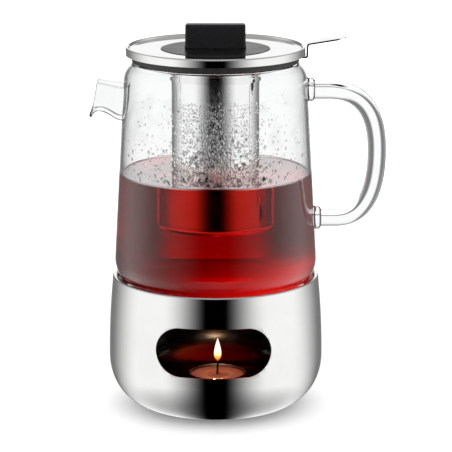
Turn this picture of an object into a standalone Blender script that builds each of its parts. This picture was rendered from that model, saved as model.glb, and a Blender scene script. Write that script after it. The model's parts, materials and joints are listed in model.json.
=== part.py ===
"""Glass teapot on its candle warmer, with a hanging tea strainer and a lid.

Blender 4.5 script, in metres, +Z up. The origin is on the jug's axis at table height. The spout points
to -X, the handle and the strainer's tongue to +X, and the warmer's window faces -Y.
Each piece is one object. Lines drawn as (radius, height) are turned about Z.
"""

import math

import bmesh
import bpy

# ---------------------------------------------------------------- driving dimensions
GAP = 0.0003  # between two pieces that touch
TURN_STEPS = 40  # sides of a large turned piece
OFF_THE_SIDES = 90.0 / TURN_STEPS  # degrees that keep a drilled hole's middle off the sides' edges
SMALL_STEPS = 20  # sides of a small turned piece

# Jug, blown glass
JUG_HEIGHT = 0.1521
NECK_RADIUS = 0.0544  # outside, at the mouth
NECK_HEIGHT = 0.0015
SHOULDER_STEP = 0.0055  # how far the body stands out from the neck
SHOULDER_ROUND = 0.0140
BODY_TAPER = 0.0066  # how much wider the body is at its foot
FOOT_ROUND = 0.0220
PUNT = 0.0010  # hollow under the bottom
PUNT_SLOPE = 0.0040  # width of the slope round it
STANDING_RING = 0.0085  # width of the flat ring that the jug stands on
GLASS_WALL = 0.0022

# Spout, an open trough
SPOUT_WALL = 0.0020
SPOUT_DROP = 0.0156  # its top edge at the body, below the jug's mouth
SPOUT_DEPTH = 0.0235
SPOUT_HALF_WIDTH = 0.0113  # at the body
SPOUT_LIP_HALF_WIDTH = 0.0078
SPOUT_REACH = 0.0204  # of the lower lip, out from the body
SPOUT_RAKE = 0.0040  # how far the lower lip stands out past the top edge
SPOUT_RISE = 0.0030  # of the top edge, from the body to the mouth
SPOUT_HUMP = 0.0058  # rise of the floor before the drip lip
DRIP_DROP = 0.0040
SPOUT_HOLE_BRIDGE = 0.0012  # glass left above the hole, below the trough's top edge

# Handle, a bent glass rod on two fused collars
HANDLE_ROD_RADIUS = 0.0061
HANDLE_THINNING = 0.0005  # the rod is that much thinner, in radius, at its lower end
HANDLE_TOP_DROP = 0.0187  # upper end, below the jug's mouth
HANDLE_LOW_RISE = 0.0480  # lower end, above the jug's bottom
HANDLE_REACH = 0.0430  # axis of the rod, out from the body
HANDLE_BELLY_RISE = 0.0020  # the outermost point, above the middle
HANDLE_STRAIGHT = 0.0100  # straight run out of each collar
HANDLE_SQUARENESS = 0.66  # pull of the bends towards their corners
COLLAR_RADIUS = 0.0077
COLLAR_HEIGHT = 0.0042

# Warmer, a spun steel bowl
WARMER_HEIGHT = 0.0886
POT_SINK = 0.0106  # how deep the jug sits below the rim
RIM_GAP = 0.0017  # between the jug and the hem
HEM_WIDTH = 0.0032
HEM_LEG = 0.0018
SHELL_BELLY = 0.0027  # how much wider the belly is than the rim
SHELL_CORNER_WIDTH = 0.0289
SHELL_CORNER_HEIGHT = 0.0334
SHELL_WALL = 0.0010
FOOT_RING_WIDTH = 0.0040
PAD_THICKNESS = 0.0020
PAD_PROUD = 0.0008

# Window in the front of the warmer, measured round the wall
WINDOW_WIDTH = 0.0771
WINDOW_HEIGHT = 0.0324
WINDOW_TOP_DROP = 0.0203  # below the rim
WINDOW_TURN = -1.1  # degrees from the front, towards the spout

# Ring that carries the jug
LEDGE_WIDTH = 0.0090
LEDGE_MARGIN = 0.0015  # ledge outside the flat ring that the jug stands on
REST_SHEET = 0.0008
REST_RISE = 0.0042  # of the cone from the ledge to the wall
REST_SKIRT = 0.0055
REST_LIP = 0.0015
VENT_COUNT = 6
VENT_RADIUS = 0.0040
BUFFER_COUNT = 3
BUFFER_HEAD_RADIUS = 0.0040
BUFFER_HEAD_HEIGHT = 0.0024
BUFFER_STEM_RADIUS = 0.0015
BUFFER_BULB_RADIUS = 0.0022
BUFFER_BULB_HEIGHT = 0.0014

# Tealight and its tray
TEALIGHT_RADIUS = 0.0191  # at the rim
TEALIGHT_HEIGHT = 0.0155
TEALIGHT_DRAFT = 0.0006
CUP_SHEET = 0.0004
CUP_BEAD = 0.0005
WAX_DROP = 0.0010  # wax below the cup's rim
WICK_RADIUS = 0.0007
WICK_STANDING = 0.0110  # above the wax
TAB_RADIUS = 0.0060
TAB_SHEET = 0.0004
TAB_NECK = 0.0030
TEALIGHT_SHIFT = 0.0012  # it stands that far off the middle of its tray
TRAY_CLEARANCE = 0.0018
TRAY_SHEET = 0.0006
TRAY_WALL_HEIGHT = 0.0040
TRAY_FLARE = 0.0012

# Strainer
STRAINER_RADIUS = 0.0287
STRAINER_LENGTH = 0.1120
STRAINER_SHEET = 0.0005
STRAINER_FOOT_ROUND = 0.0035
STRAINER_FOOT_SKIRT = 0.0010  # upright rim of the bottom, below the tube
HOLE_ROWS = 6
HOLES_IN_ROW = 10
HOLE_WIDTH = 0.0022
HOLE_HEIGHT = 0.0060
HOLE_PITCH = 0.0120
HOLE_RISE = 0.0120  # lowest row, above the strainer's bottom
FLOOR_HOLES = 6
FLOOR_HOLE_RADIUS = 0.0024
FLANGE_SHEET = 0.0006
FLANGE_COLLAR = 0.0135
SEAL_HEIGHT = 0.0042
SEAL_FOOT = 0.0022  # silicone between the glass and the flange
SEAL_OUTER_WALL = 0.0011
SEAL_PLUG_DEPTH = 0.0022
SEAL_PLUG_WIDTH = 0.0024
SEAL_TOP_LIP = 0.0039
TONGUE_WIDTH = 0.0127
TONGUE_SHEET = 0.0010
TONGUE_STEP = 0.0088  # height of the bend past the lid
TONGUE_LENGTH = 0.0250
TONGUE_RISE = 0.0038

# Lid
LID_OVERHANG = 0.0041  # past the neck
LID_SHEET = 0.0008
LID_WALL_HEIGHT = 0.0045
LIP_HEIGHT = 0.0018
LIP_WIDTH = 0.0032
LID_DISC_RADIUS = 0.0351
LID_DISC_THICKNESS = 0.0015
LID_DISC_PROUD = 0.0003
LINER_SHEET = 0.0006
LINER_COLLAR_DEPTH = 0.0060
LINER_COLLAR_CLEARANCE = 0.0007
KNOB_LENGTH = 0.0392
KNOB_WIDTH = 0.0096
KNOB_HEIGHT = 0.0156
KNOB_ROUND = 0.0016
KNOB_FLARE = 0.0018
KNOB_EDGE = 0.0004
SCREW_RADIUS = 0.0020
SCREW_GRIP = 0.0085  # thread inside the knob
SCREW_HEAD_RADIUS = 0.0040
SCREW_HEAD_HEIGHT = 0.0022
SCREW_SLOT_WIDTH = 0.0010
SCREW_SLOT_DEPTH = 0.0009
WASHER_RADIUS = 0.0065
WASHER_SHEET = 0.0008

# ---------------------------------------------------------------- sizes worked out from them
BODY_TOP_RADIUS = NECK_RADIUS + SHOULDER_STEP
BODY_FOOT_RADIUS = BODY_TOP_RADIUS + BODY_TAPER
JUG_BOTTOM = WARMER_HEIGHT - POT_SINK
JUG_TOP = JUG_BOTTOM + JUG_HEIGHT
SHOULDER_RISE = math.sqrt(SHOULDER_ROUND**2 - (SHOULDER_ROUND - SHOULDER_STEP) ** 2)
SHOULDER_TURN = math.degrees(math.asin(SHOULDER_RISE / SHOULDER_ROUND))
SHOULDER_START = JUG_TOP - NECK_HEIGHT - SHOULDER_RISE
FOOT_END = JUG_BOTTOM + FOOT_ROUND
FOOT_FLAT_RADIUS = BODY_FOOT_RADIUS - FOOT_ROUND
LEDGE_END = FOOT_FLAT_RADIUS + LEDGE_MARGIN
REST_HOLE_RADIUS = LEDGE_END - LEDGE_WIDTH

SEAL_BOTTOM = JUG_TOP + GAP
SEAL_TOP = SEAL_BOTTOM + SEAL_HEIGHT
FLANGE_BOTTOM = SEAL_BOTTOM + SEAL_FOOT + GAP
FLANGE_TOP = FLANGE_BOTTOM + FLANGE_SHEET
FLANGE_RADIUS = NECK_RADIUS - SEAL_OUTER_WALL - GAP
STRAINER_TOP = FLANGE_BOTTOM - GAP
STRAINER_BOTTOM = STRAINER_TOP - STRAINER_LENGTH

LID_RADIUS = NECK_RADIUS + LID_OVERHANG
LID_BOTTOM = SEAL_TOP + GAP
LID_SHOULDER = LID_BOTTOM + LID_WALL_HEIGHT
LID_PLATE = LID_SHOULDER + LID_SHEET - LIP_HEIGHT
SEAT_RADIUS = LID_DISC_RADIUS + GAP
DISC_TOP = LID_PLATE + LID_DISC_PROUD
DISC_BOTTOM = DISC_TOP - LID_DISC_THICKNESS
SEAT_TOP = DISC_BOTTOM - GAP
KNOB_BOTTOM = DISC_TOP + GAP
SCREW_HOLE_RADIUS = SCREW_RADIUS + GAP

PAD_TOP = PAD_THICKNESS
FLOOR_BOTTOM = PAD_TOP + GAP
FLOOR_TOP = FLOOR_BOTTOM + SHELL_WALL
TRAY_BOTTOM = FLOOR_TOP + GAP
TEALIGHT_BOTTOM = TRAY_BOTTOM + TRAY_SHEET + GAP
TEALIGHT_TOP = TEALIGHT_BOTTOM + TEALIGHT_HEIGHT
WAX_TOP = TEALIGHT_TOP - WAX_DROP


def jug_radius(height):
    """Outer radius of the jug's body at a height above the table."""
    if height < FOOT_END:
        below = max(FOOT_END - height, 0.0)
        return FOOT_FLAT_RADIUS + math.sqrt(max(FOOT_ROUND**2 - below**2, 0.0))
    share = (height - FOOT_END) / (SHOULDER_START - FOOT_END)
    return BODY_FOOT_RADIUS - BODY_TAPER * min(share, 1.0)


RIM_RADIUS = jug_radius(WARMER_HEIGHT) + RIM_GAP + HEM_WIDTH
SHELL_RADIUS = RIM_RADIUS + SHELL_BELLY
SHELL_FOOT_RADIUS = SHELL_RADIUS - SHELL_CORNER_WIDTH
PAD_RADIUS = SHELL_FOOT_RADIUS - FOOT_RING_WIDTH
CORNER_TOP = PAD_PROUD + SHELL_CORNER_HEIGHT
HEM_CENTRE = WARMER_HEIGHT - HEM_WIDTH / 2


def shell_radius(height):
    """Outer radius of the warmer's wall above its rounded corner."""
    share = (height - CORNER_TOP) / (HEM_CENTRE - CORNER_TOP)
    return SHELL_RADIUS - SHELL_BELLY * share**2


# ---------------------------------------------------------------- scene and materials
for old in list(bpy.data.objects):
    bpy.data.objects.remove(old, do_unlink=True)

PIECES = bpy.data.collections.new("glass_teapot")
CUTTERS = bpy.data.collections.new("cutters")
for group in (PIECES, CUTTERS):
    bpy.context.scene.collection.children.link(group)


def material(name, colour, roughness, metallic=0.0, transmission=0.0):
    made = bpy.data.materials.new(name)
    made.use_nodes = True
    shader = made.node_tree.nodes["Principled BSDF"]
    shader.inputs["Base Color"].default_value = (*colour, 1.0)
    shader.inputs["Roughness"].default_value = roughness
    shader.inputs["Metallic"].default_value = metallic
    shader.inputs["Transmission Weight"].default_value = transmission
    return made


GLASS = material("borosilicate_glass", (0.94, 0.96, 0.96), 0.02, transmission=1.0)
STEEL = material("polished_steel", (0.72, 0.72, 0.72), 0.12, metallic=1.0)
MESH_STEEL = material("strainer_steel", (0.66, 0.66, 0.66), 0.25, metallic=1.0)
SILICONE = material("black_silicone", (0.02, 0.02, 0.02), 0.55)
PLASTIC = material("black_plastic", (0.012, 0.012, 0.012), 0.35)
TIN = material("tealight_aluminium", (0.75, 0.75, 0.76), 0.30, metallic=1.0)
WAX = material("candle_wax", (0.80, 0.62, 0.52), 0.45)
COTTON = material("wick_cotton", (0.06, 0.05, 0.04), 0.90)


# ---------------------------------------------------------------- modelling helpers
def add_object(name, data, finish=None):
    """Links an object as a piece, or as a hidden cutter when it has no material."""
    made = bpy.data.objects.new(name, data)
    if finish is None:
        CUTTERS.objects.link(made)
        made.hide_render = True
        made.display_type = "WIRE"
    else:
        PIECES.objects.link(made)
        data.materials.append(finish)
    return made


def arc(centre, radius, start, end, count):
    """Points (radius, height) on an arc, from the start angle to the end angle in degrees."""
    angles = [math.radians(start + (end - start) * i / count) for i in range(count + 1)]
    return [(centre[0] + radius * math.cos(a), centre[1] + radius * math.sin(a)) for a in angles]


def sheet(line, wall):
    """Outline of a sheet: the line, then the same line moved by wall to its left, back again."""
    moved = []
    for i, (x, z) in enumerate(line):
        before = line[max(i - 1, 0)]
        after = line[min(i + 1, len(line) - 1)]
        normals = []
        for a, b in ((before, (x, z)), ((x, z), after)):
            length = math.hypot(b[0] - a[0], b[1] - a[1])
            if length > 0:
                normals.append(((a[1] - b[1]) / length, (b[0] - a[0]) / length))
        nx = sum(n[0] for n in normals) / len(normals)
        nz = sum(n[1] for n in normals) / len(normals)
        reach = wall / (nx * nx + nz * nz)
        moved.append((0.0 if x == 0 else x + nx * reach, z + nz * reach))
    return line + moved[::-1]


def turned(name, outline, finish=None, steps=TURN_STEPS):
    """Turns an outline of (radius, height) points about Z. One that ends on the axis stays open there."""
    area = sum(
        a[0] * b[1] - b[0] * a[1] for a, b in zip(outline, outline[1:] + outline[:1])
    )
    points = outline[::-1] if area > 0 else outline
    on_axis = points[0][0] == 0 and points[-1][0] == 0
    count = len(points)
    edges = [(i, (i + 1) % count) for i in range(count - (1 if on_axis else 0))]
    mesh = bpy.data.meshes.new(name)
    mesh.from_pydata([(r, 0.0, z) for r, z in points], edges, [])
    made = add_object(name, mesh, finish)
    screw = made.modifiers.new("turn", "SCREW")
    screw.steps = screw.render_steps = steps
    screw.use_merge_vertices = True
    screw.merge_threshold = 1e-6
    screw.use_smooth_shade = False
    return made


def lofted(name, rings, finish=None, closed=True):
    """Skins rings that have the same number of points. A closed loft gets an end face on each end."""
    shape = bmesh.new()
    loops = [[shape.verts.new(p) for p in ring] for ring in rings]
    count = len(rings[0])
    for low, high in zip(loops, loops[1:]):
        for i in range(count if closed else count - 1):
            j = (i + 1) % count
            shape.faces.new((low[i], low[j], high[j], high[i]))
    if closed:
        shape.faces.new(loops[0][::-1])
        shape.faces.new(loops[-1])
        bmesh.ops.recalc_face_normals(shape, faces=shape.faces)
    mesh = bpy.data.meshes.new(name)
    shape.to_mesh(mesh)
    shape.free()
    return add_object(name, mesh, finish)


def box(name, low, high, finish=None):
    shape = bmesh.new()
    bmesh.ops.create_cube(shape, size=1.0)
    for vert in shape.verts:
        vert.co = [a + (b - a) * (c + 0.5) for a, b, c in zip(low, high, vert.co)]
    mesh = bpy.data.meshes.new(name)
    shape.to_mesh(mesh)
    shape.free()
    return add_object(name, mesh, finish)


def cut(piece, cutter):
    take = piece.modifiers.new("cut_" + cutter.name, "BOOLEAN")
    take.operation = "DIFFERENCE"
    take.object = cutter


def round_cutter(name, radius, low, high, x, y=0.0):
    """Upright cylinder that drills a hole at (x, y)."""
    cutter = turned(name, [(0.0, high), (radius, high), (radius, low), (0.0, low)], steps=12)
    cutter.location = (x, y, 0.0)
    return cutter


def around(count, start=0.0):
    """Angles of count places spread evenly round the axis, in radians."""
    return [math.radians(start + 360.0 * i / count) for i in range(count)]


# ---------------------------------------------------------------- warmer
def window_cutter():
    """Flat-sided slot with round ends, wrapped round the wall: a column of two points for each angle."""
    half = WINDOW_WIDTH / 2
    end_radius = WINDOW_HEIGHT / 2
    straight = half - end_radius
    middle = WARMER_HEIGHT - WINDOW_TOP_DROP - end_radius
    wall = shell_radius(middle)
    quarter = [math.sin(math.radians(a)) for a in (0, 15, 32, 50, 70, 90)]
    right = [straight * share for share in (0, 0.5)] + [straight + end_radius * q for q in quarter]
    places = [-s for s in right[:0:-1]] + right
    depths = (wall - 0.012, wall + 0.010)
    shape = bmesh.new()
    rows = []
    for s in places:
        past = min(max(abs(s) - straight, 0.0), end_radius)
        tall = math.sqrt(end_radius**2 - past**2)
        angle = s / wall - math.pi / 2
        spots = [(r, middle + side * tall) for r in depths for side in (-1, 1)]
        rows.append([shape.verts.new((r * math.cos(angle), r * math.sin(angle), z)) for r, z in spots])
    for a, b in zip(rows, rows[1:]):
        for i, j in ((0, 1), (1, 3), (3, 2), (2, 0)):
            shape.faces.new((a[i], a[j], b[j], b[i]))
    for end in (rows[0], rows[-1]):
        shape.faces.new((end[0], end[1], end[3], end[2]))
    bmesh.ops.remove_doubles(shape, verts=shape.verts, dist=1e-6)
    bmesh.ops.recalc_face_normals(shape, faces=shape.faces)
    mesh = bpy.data.meshes.new("window_cutter")
    shape.to_mesh(mesh)
    shape.free()
    cutter = add_object("window_cutter", mesh)
    cutter.rotation_euler = (0.0, 0.0, math.radians(WINDOW_TURN))
    return cutter


def warmer_shell():
    """Bowl spun from one sheet: recessed floor, rounded corner, leaning wall and a hem folded inwards."""
    recess = PAD_RADIUS + GAP
    corner = [
        (
            SHELL_FOOT_RADIUS + SHELL_CORNER_WIDTH * math.sin(math.radians(a)),
            CORNER_TOP - SHELL_CORNER_HEIGHT * math.cos(math.radians(a)),
        )
        for a in (0, 12, 26, 42, 58, 74, 90)
    ]
    rise = HEM_CENTRE - CORNER_TOP
    wall = [(shell_radius(CORNER_TOP + rise * s), CORNER_TOP + rise * s) for s in (0.35, 0.7)]
    hem_middle = (RIM_RADIUS - HEM_WIDTH / 2, HEM_CENTRE)
    hem = arc(hem_middle, HEM_WIDTH / 2, 0, 180, 4)
    leg = [(RIM_RADIUS - HEM_WIDTH, HEM_CENTRE - HEM_LEG)]
    floor = [(0.0, FLOOR_BOTTOM), (recess, FLOOR_BOTTOM), (recess, PAD_PROUD)]
    shell = turned("warmer_shell", sheet(floor + corner + wall + hem + leg, SHELL_WALL), STEEL)
    cut(shell, window_cutter())


def base_pad():
    outline = [(0.0, PAD_TOP), (PAD_RADIUS, PAD_TOP), (PAD_RADIUS, 0.0), (0.0, 0.0)]
    turned("base_pad", outline, SILICONE)


def tealight_tray():
    inside = TEALIGHT_RADIUS + TRAY_CLEARANCE
    top = TRAY_BOTTOM + TRAY_WALL_HEIGHT
    outside = inside + TRAY_SHEET
    line = [
        (0.0, TRAY_BOTTOM),
        (outside - TRAY_SHEET, TRAY_BOTTOM),
        (outside, TRAY_BOTTOM + TRAY_SHEET),
        (outside, top - TRAY_FLARE),
        (outside + TRAY_FLARE, top),
    ]
    turned("tealight_tray", sheet(line, TRAY_SHEET), STEEL)


def pot_rest():
    """Pressed ring that carries the jug, with vents in its cone and three silicone buffers in its ledge."""
    ledge = JUG_BOTTOM - GAP - BUFFER_HEAD_HEIGHT - GAP
    cone_top = ledge + REST_RISE
    skirt = shell_radius(cone_top) - SHELL_WALL - GAP
    line = [
        (skirt, cone_top - REST_SKIRT),
        (skirt, cone_top),
        (LEDGE_END, ledge),
        (REST_HOLE_RADIUS, ledge),
        (REST_HOLE_RADIUS, ledge - REST_LIP),
    ]
    ring = turned("pot_rest_ring", sheet(line, REST_SHEET), STEEL)
    vent_place = (LEDGE_END + skirt) / 2
    for i, angle in enumerate(around(VENT_COUNT, 30.0 + OFF_THE_SIDES)):
        x = vent_place * math.cos(angle)
        y = vent_place * math.sin(angle)
        low = ledge - REST_SKIRT
        high = cone_top + REST_SHEET
        cut(ring, round_cutter(f"vent_cutter_{i + 1}", VENT_RADIUS, low, high, x, y))
    buffer_place = REST_HOLE_RADIUS + LEDGE_WIDTH / 2
    stem_bottom = ledge - REST_SHEET - GAP
    stem_hole = BUFFER_STEM_RADIUS + GAP
    outline = [
        (0.0, ledge + GAP + BUFFER_HEAD_HEIGHT),
        (BUFFER_HEAD_RADIUS, ledge + GAP + BUFFER_HEAD_HEIGHT),
        (BUFFER_HEAD_RADIUS, ledge + GAP),
        (BUFFER_STEM_RADIUS, ledge + GAP),
        (BUFFER_STEM_RADIUS, stem_bottom),
        (BUFFER_BULB_RADIUS, stem_bottom),
        (BUFFER_STEM_RADIUS, stem_bottom - BUFFER_BULB_HEIGHT),
        (0.0, stem_bottom - BUFFER_BULB_HEIGHT),
    ]
    for i, angle in enumerate(around(BUFFER_COUNT, 90.0 + OFF_THE_SIDES)):
        x = buffer_place * math.cos(angle)
        y = buffer_place * math.sin(angle)
        name = f"stem_cutter_{i + 1}"
        cut(ring, round_cutter(name, stem_hole, ledge - REST_RISE, ledge + REST_RISE, x, y))
        silicone = turned(f"rest_buffer_{i + 1}", outline, SILICONE, steps=12)
        silicone.location = (x, y, 0.0)


# ---------------------------------------------------------------- tealight
def tealight():
    foot = TEALIGHT_RADIUS - TEALIGHT_DRAFT
    cup_line = [
        (0.0, TEALIGHT_BOTTOM),
        (foot - CUP_BEAD, TEALIGHT_BOTTOM),
        (foot, TEALIGHT_BOTTOM + CUP_BEAD),
        (TEALIGHT_RADIUS - CUP_BEAD, TEALIGHT_TOP - CUP_BEAD),
        (TEALIGHT_RADIUS, TEALIGHT_TOP),
    ]
    pieces = [turned("tealight_cup", sheet(cup_line, CUP_SHEET), TIN, steps=SMALL_STEPS)]

    low = TEALIGHT_BOTTOM + CUP_SHEET + GAP
    wax_radius = foot - CUP_SHEET - GAP
    tab_top = low + TAB_SHEET
    bore = WICK_RADIUS + GAP
    neck_radius = bore + TAB_SHEET
    wax_outline = [
        (neck_radius + GAP, WAX_TOP),
        (wax_radius, WAX_TOP),
        (wax_radius, low + CUP_BEAD),
        (wax_radius - CUP_BEAD, low),
        (TAB_RADIUS + GAP, low),
        (TAB_RADIUS + GAP, tab_top + GAP),
        (neck_radius + GAP, tab_top + GAP),
    ]
    pieces.append(turned("tealight_wax", wax_outline, WAX, steps=SMALL_STEPS))

    tab_outline = [
        (bore, tab_top + TAB_NECK),
        (neck_radius, tab_top + TAB_NECK),
        (neck_radius, tab_top),
        (TAB_RADIUS, tab_top),
        (TAB_RADIUS, low),
        (bore, low),
    ]
    pieces.append(turned("wick_tab", tab_outline, TIN, steps=SMALL_STEPS))

    wick_top = WAX_TOP + WICK_STANDING
    wick_outline = [
        (0.0, wick_top),
        (WICK_RADIUS, wick_top - WICK_RADIUS),
        (WICK_RADIUS, low),
        (0.0, low),
    ]
    pieces.append(turned("wick", wick_outline, COTTON, steps=8))
    for piece in pieces:
        piece.location = (TEALIGHT_SHIFT, 0.0, 0.0)


# ---------------------------------------------------------------- jug
def jug_line():
    """Outer line of the jug, from the middle of its bottom to its mouth."""
    foot_centre = (FOOT_FLAT_RADIUS, FOOT_END)
    punt_end = FOOT_FLAT_RADIUS - STANDING_RING
    shoulder_centre = (BODY_TOP_RADIUS - SHOULDER_ROUND, SHOULDER_START)
    return [
        (0.0, JUG_BOTTOM + PUNT),
        (punt_end - PUNT_SLOPE, JUG_BOTTOM + PUNT),
        (punt_end, JUG_BOTTOM),
        *arc(foot_centre, FOOT_ROUND, -90, 0, 6),
        *arc(shoulder_centre, SHOULDER_ROUND, 0, SHOULDER_TURN, 4),
        (NECK_RADIUS, JUG_TOP),
    ]


def body_cutter():
    """The jug's outer body, a gap larger, for trimming what is fused on to it."""
    low = FOOT_END
    shoulder_centre = (BODY_TOP_RADIUS - SHOULDER_ROUND, SHOULDER_START)
    outline = [
        (0.0, JUG_TOP),
        (NECK_RADIUS + GAP, JUG_TOP),
        *arc(shoulder_centre, SHOULDER_ROUND + GAP, SHOULDER_TURN, 0, 4),
        (jug_radius(low) + GAP, low),
        (0.0, low),
    ]
    return turned("body_cutter", outline)


def spout_stations():
    """The trough's sections from the body to the mouth: (x at the top, x at the floor, half width, top, floor)."""
    edge = JUG_TOP - SPOUT_DROP
    wall = jug_radius(edge - SPOUT_DEPTH / 2)
    floor = edge - SPOUT_DEPTH
    narrowing = SPOUT_HALF_WIDTH - SPOUT_LIP_HALF_WIDTH
    reach_top = SPOUT_REACH - SPOUT_RAKE
    shares = ((-0.30, -0.30, 0.0), (0.0, 0.05, 0.05), (0.28, 0.40, 0.5), (0.58, 0.70, 0.98), (0.84, 0.90, 1.0))
    stations = []
    for along_top, along_floor, lift in shares:
        stations.append(
            (
                -wall - reach_top * along_top,
                -wall - SPOUT_REACH * along_floor,
                SPOUT_HALF_WIDTH - narrowing * max(along_top, 0.0),
                edge + SPOUT_RISE * max(along_top, 0.0),
                floor + SPOUT_HUMP * lift,
            )
        )
    lip_floor = floor + SPOUT_HUMP - DRIP_DROP
    stations.append(
        (-wall - reach_top, -wall - SPOUT_REACH, SPOUT_LIP_HALF_WIDTH, edge + SPOUT_RISE, lip_floor)
    )
    return stations


def trough_section(station, inset=0.0, count=12):
    """One U-shaped section, from the far top edge round the floor to the near one."""
    x_top, x_floor, half_width, top, floor = station
    points = []
    for i in range(count + 1):
        angle = math.pi * i / count
        across = math.copysign(abs(math.cos(angle)) ** 0.8, math.cos(angle))
        down = math.sin(angle) ** 0.8
        points.append(
            (
                x_top + (x_floor - x_top) * down,
                (half_width - inset) * across,
                top - (top - floor - inset) * down,
            )
        )
    return points


def jug():
    body = turned("jug_body", sheet(jug_line(), GLASS_WALL), GLASS)
    stations = spout_stations()
    mouth_ring = list(stations[1])
    mouth_ring[3] -= SPOUT_HOLE_BRIDGE
    hole = []
    for x in (-jug_radius(mouth_ring[3]) - SPOUT_WALL * 3, -NECK_RADIUS * 0.7):
        hole.append([(x, y, z) for _, y, z in trough_section(mouth_ring, SPOUT_WALL)])
    cut(body, lofted("spout_hole_cutter", hole))

    trimmer = body_cutter()
    spout = lofted("spout", [trough_section(s) for s in stations], GLASS, closed=False)
    wall = spout.modifiers.new("wall", "SOLIDIFY")
    wall.thickness = SPOUT_WALL
    wall.offset = -1.0
    wall.use_even_offset = True
    cut(spout, trimmer)
    handle(trimmer)


def handle(trimmer):
    """Bent rod, and the two collars of glass that fuse it to the body."""
    top = JUG_TOP - HANDLE_TOP_DROP
    low = JUG_BOTTOM + HANDLE_LOW_RISE
    out = jug_radius((top + low) / 2) + HANDLE_REACH
    belly = (top + low) / 2 + HANDLE_BELLY_RISE
    starts = []
    for label, height in (("upper", top), ("lower", low)):
        face = jug_radius(height) + COLLAR_HEIGHT
        inner = face - COLLAR_HEIGHT * 2
        neck = HANDLE_ROD_RADIUS + GAP
        outline = [
            (0.0, face),
            (neck, face),
            (COLLAR_RADIUS, face - COLLAR_HEIGHT * 0.45),
            (COLLAR_RADIUS, inner),
            (0.0, inner),
        ]
        collar = turned(f"handle_collar_{label}", outline, GLASS, steps=16)
        collar.rotation_euler = (0.0, math.pi / 2, 0.0)
        collar.location = (0.0, 0.0, height)
        cut(collar, trimmer)
        starts.append(face + GAP)

    curve = bpy.data.curves.new("handle", "CURVE")
    curve.dimensions = "3D"
    curve.bevel_depth = HANDLE_ROD_RADIUS
    curve.bevel_resolution = 4
    curve.resolution_u = 9
    curve.use_fill_caps = True
    spline = curve.splines.new("BEZIER")
    bend_top = starts[0] + HANDLE_STRAIGHT
    bend_low = starts[1] + HANDLE_STRAIGHT
    end_pull = HANDLE_STRAIGHT / 3
    knots = [
        (starts[0], top, 0.0, end_pull, 1, 0),
        (bend_top, top, end_pull, (out - bend_top) * HANDLE_SQUARENESS, 1, 0),
        (out, belly, (top - belly) * HANDLE_SQUARENESS, (belly - low) * HANDLE_SQUARENESS, 0, -1),
        (bend_low, low, (out - bend_low) * HANDLE_SQUARENESS, end_pull, -1, 0),
        (starts[1], low, end_pull, 0.0, -1, 0),
    ]
    thin = 1.0 - HANDLE_THINNING / HANDLE_ROD_RADIUS
    widths = (1.0, 1.0, 1.0, thin, thin)
    spline.bezier_points.add(len(knots) - 1)
    for point, width, (x, z, back, ahead, dx, dz) in zip(spline.bezier_points, widths, knots):
        point.co = (x, 0.0, z)
        point.radius = width
        point.handle_left_type = point.handle_right_type = "FREE"
        point.handle_left = (x - dx * back, 0.0, z - dz * back)
        point.handle_right = (x + dx * ahead, 0.0, z + dz * ahead)
    add_object("handle", curve, GLASS)


# ---------------------------------------------------------------- strainer
def strainer():
    """Perforated tube with a pressed bottom, hung from a flange that a silicone ring seals on the glass."""
    inner = STRAINER_RADIUS - STRAINER_SHEET
    round_end = STRAINER_BOTTOM + STRAINER_FOOT_ROUND
    joint = round_end + STRAINER_FOOT_SKIRT
    tube_low = joint + GAP
    tube_outline = [
        (STRAINER_RADIUS, STRAINER_TOP),
        (STRAINER_RADIUS, tube_low),
        (inner, tube_low),
        (inner, STRAINER_TOP),
    ]
    tube = turned("strainer_tube", tube_outline, MESH_STEEL)
    shape = bmesh.new()
    for row in range(HOLE_ROWS):
        middle = STRAINER_BOTTOM + HOLE_RISE + HOLE_PITCH * row
        start = 180.0 / HOLES_IN_ROW * (row % 2)
        for angle in around(HOLES_IN_ROW, start):
            made = bmesh.ops.create_cube(shape, size=1.0)["verts"]
            for vert in made:
                out = STRAINER_RADIUS + STRAINER_SHEET * 4 * vert.co.x
                side = HOLE_WIDTH * vert.co.y
                x = out * math.cos(angle) - side * math.sin(angle)
                y = out * math.sin(angle) + side * math.cos(angle)
                vert.co = (x, y, middle + HOLE_HEIGHT * vert.co.z)
    bmesh.ops.recalc_face_normals(shape, faces=shape.faces)
    mesh = bpy.data.meshes.new("strainer_hole_cutter")
    shape.to_mesh(mesh)
    shape.free()
    cut(tube, add_object("strainer_hole_cutter", mesh))

    rounding = (STRAINER_RADIUS - STRAINER_FOOT_ROUND, round_end)
    bottom_line = [
        (0.0, STRAINER_BOTTOM),
        *arc(rounding, STRAINER_FOOT_ROUND, -90, 0, 3),
        (STRAINER_RADIUS, joint),
    ]
    bottom = turned("strainer_bottom", sheet(bottom_line, STRAINER_SHEET), MESH_STEEL)
    for i, angle in enumerate(around(FLOOR_HOLES, OFF_THE_SIDES)):
        place = STRAINER_RADIUS * 0.55
        x = place * math.cos(angle)
        y = place * math.sin(angle)
        low = STRAINER_BOTTOM - STRAINER_SHEET * 2
        high = STRAINER_BOTTOM + STRAINER_SHEET * 3
        cut(bottom, round_cutter(f"floor_cutter_{i + 1}", FLOOR_HOLE_RADIUS, low, high, x, y))

    collar = STRAINER_RADIUS + GAP + FLANGE_SHEET
    flange_line = [
        (collar, FLANGE_BOTTOM - FLANGE_COLLAR),
        (collar, FLANGE_BOTTOM - FLANGE_SHEET),
        (collar + FLANGE_SHEET, FLANGE_BOTTOM),
        (FLANGE_RADIUS, FLANGE_BOTTOM),
    ]
    turned("strainer_flange", sheet(flange_line, FLANGE_SHEET), STEEL)
    strainer_seal()
    strainer_tongue()


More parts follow.
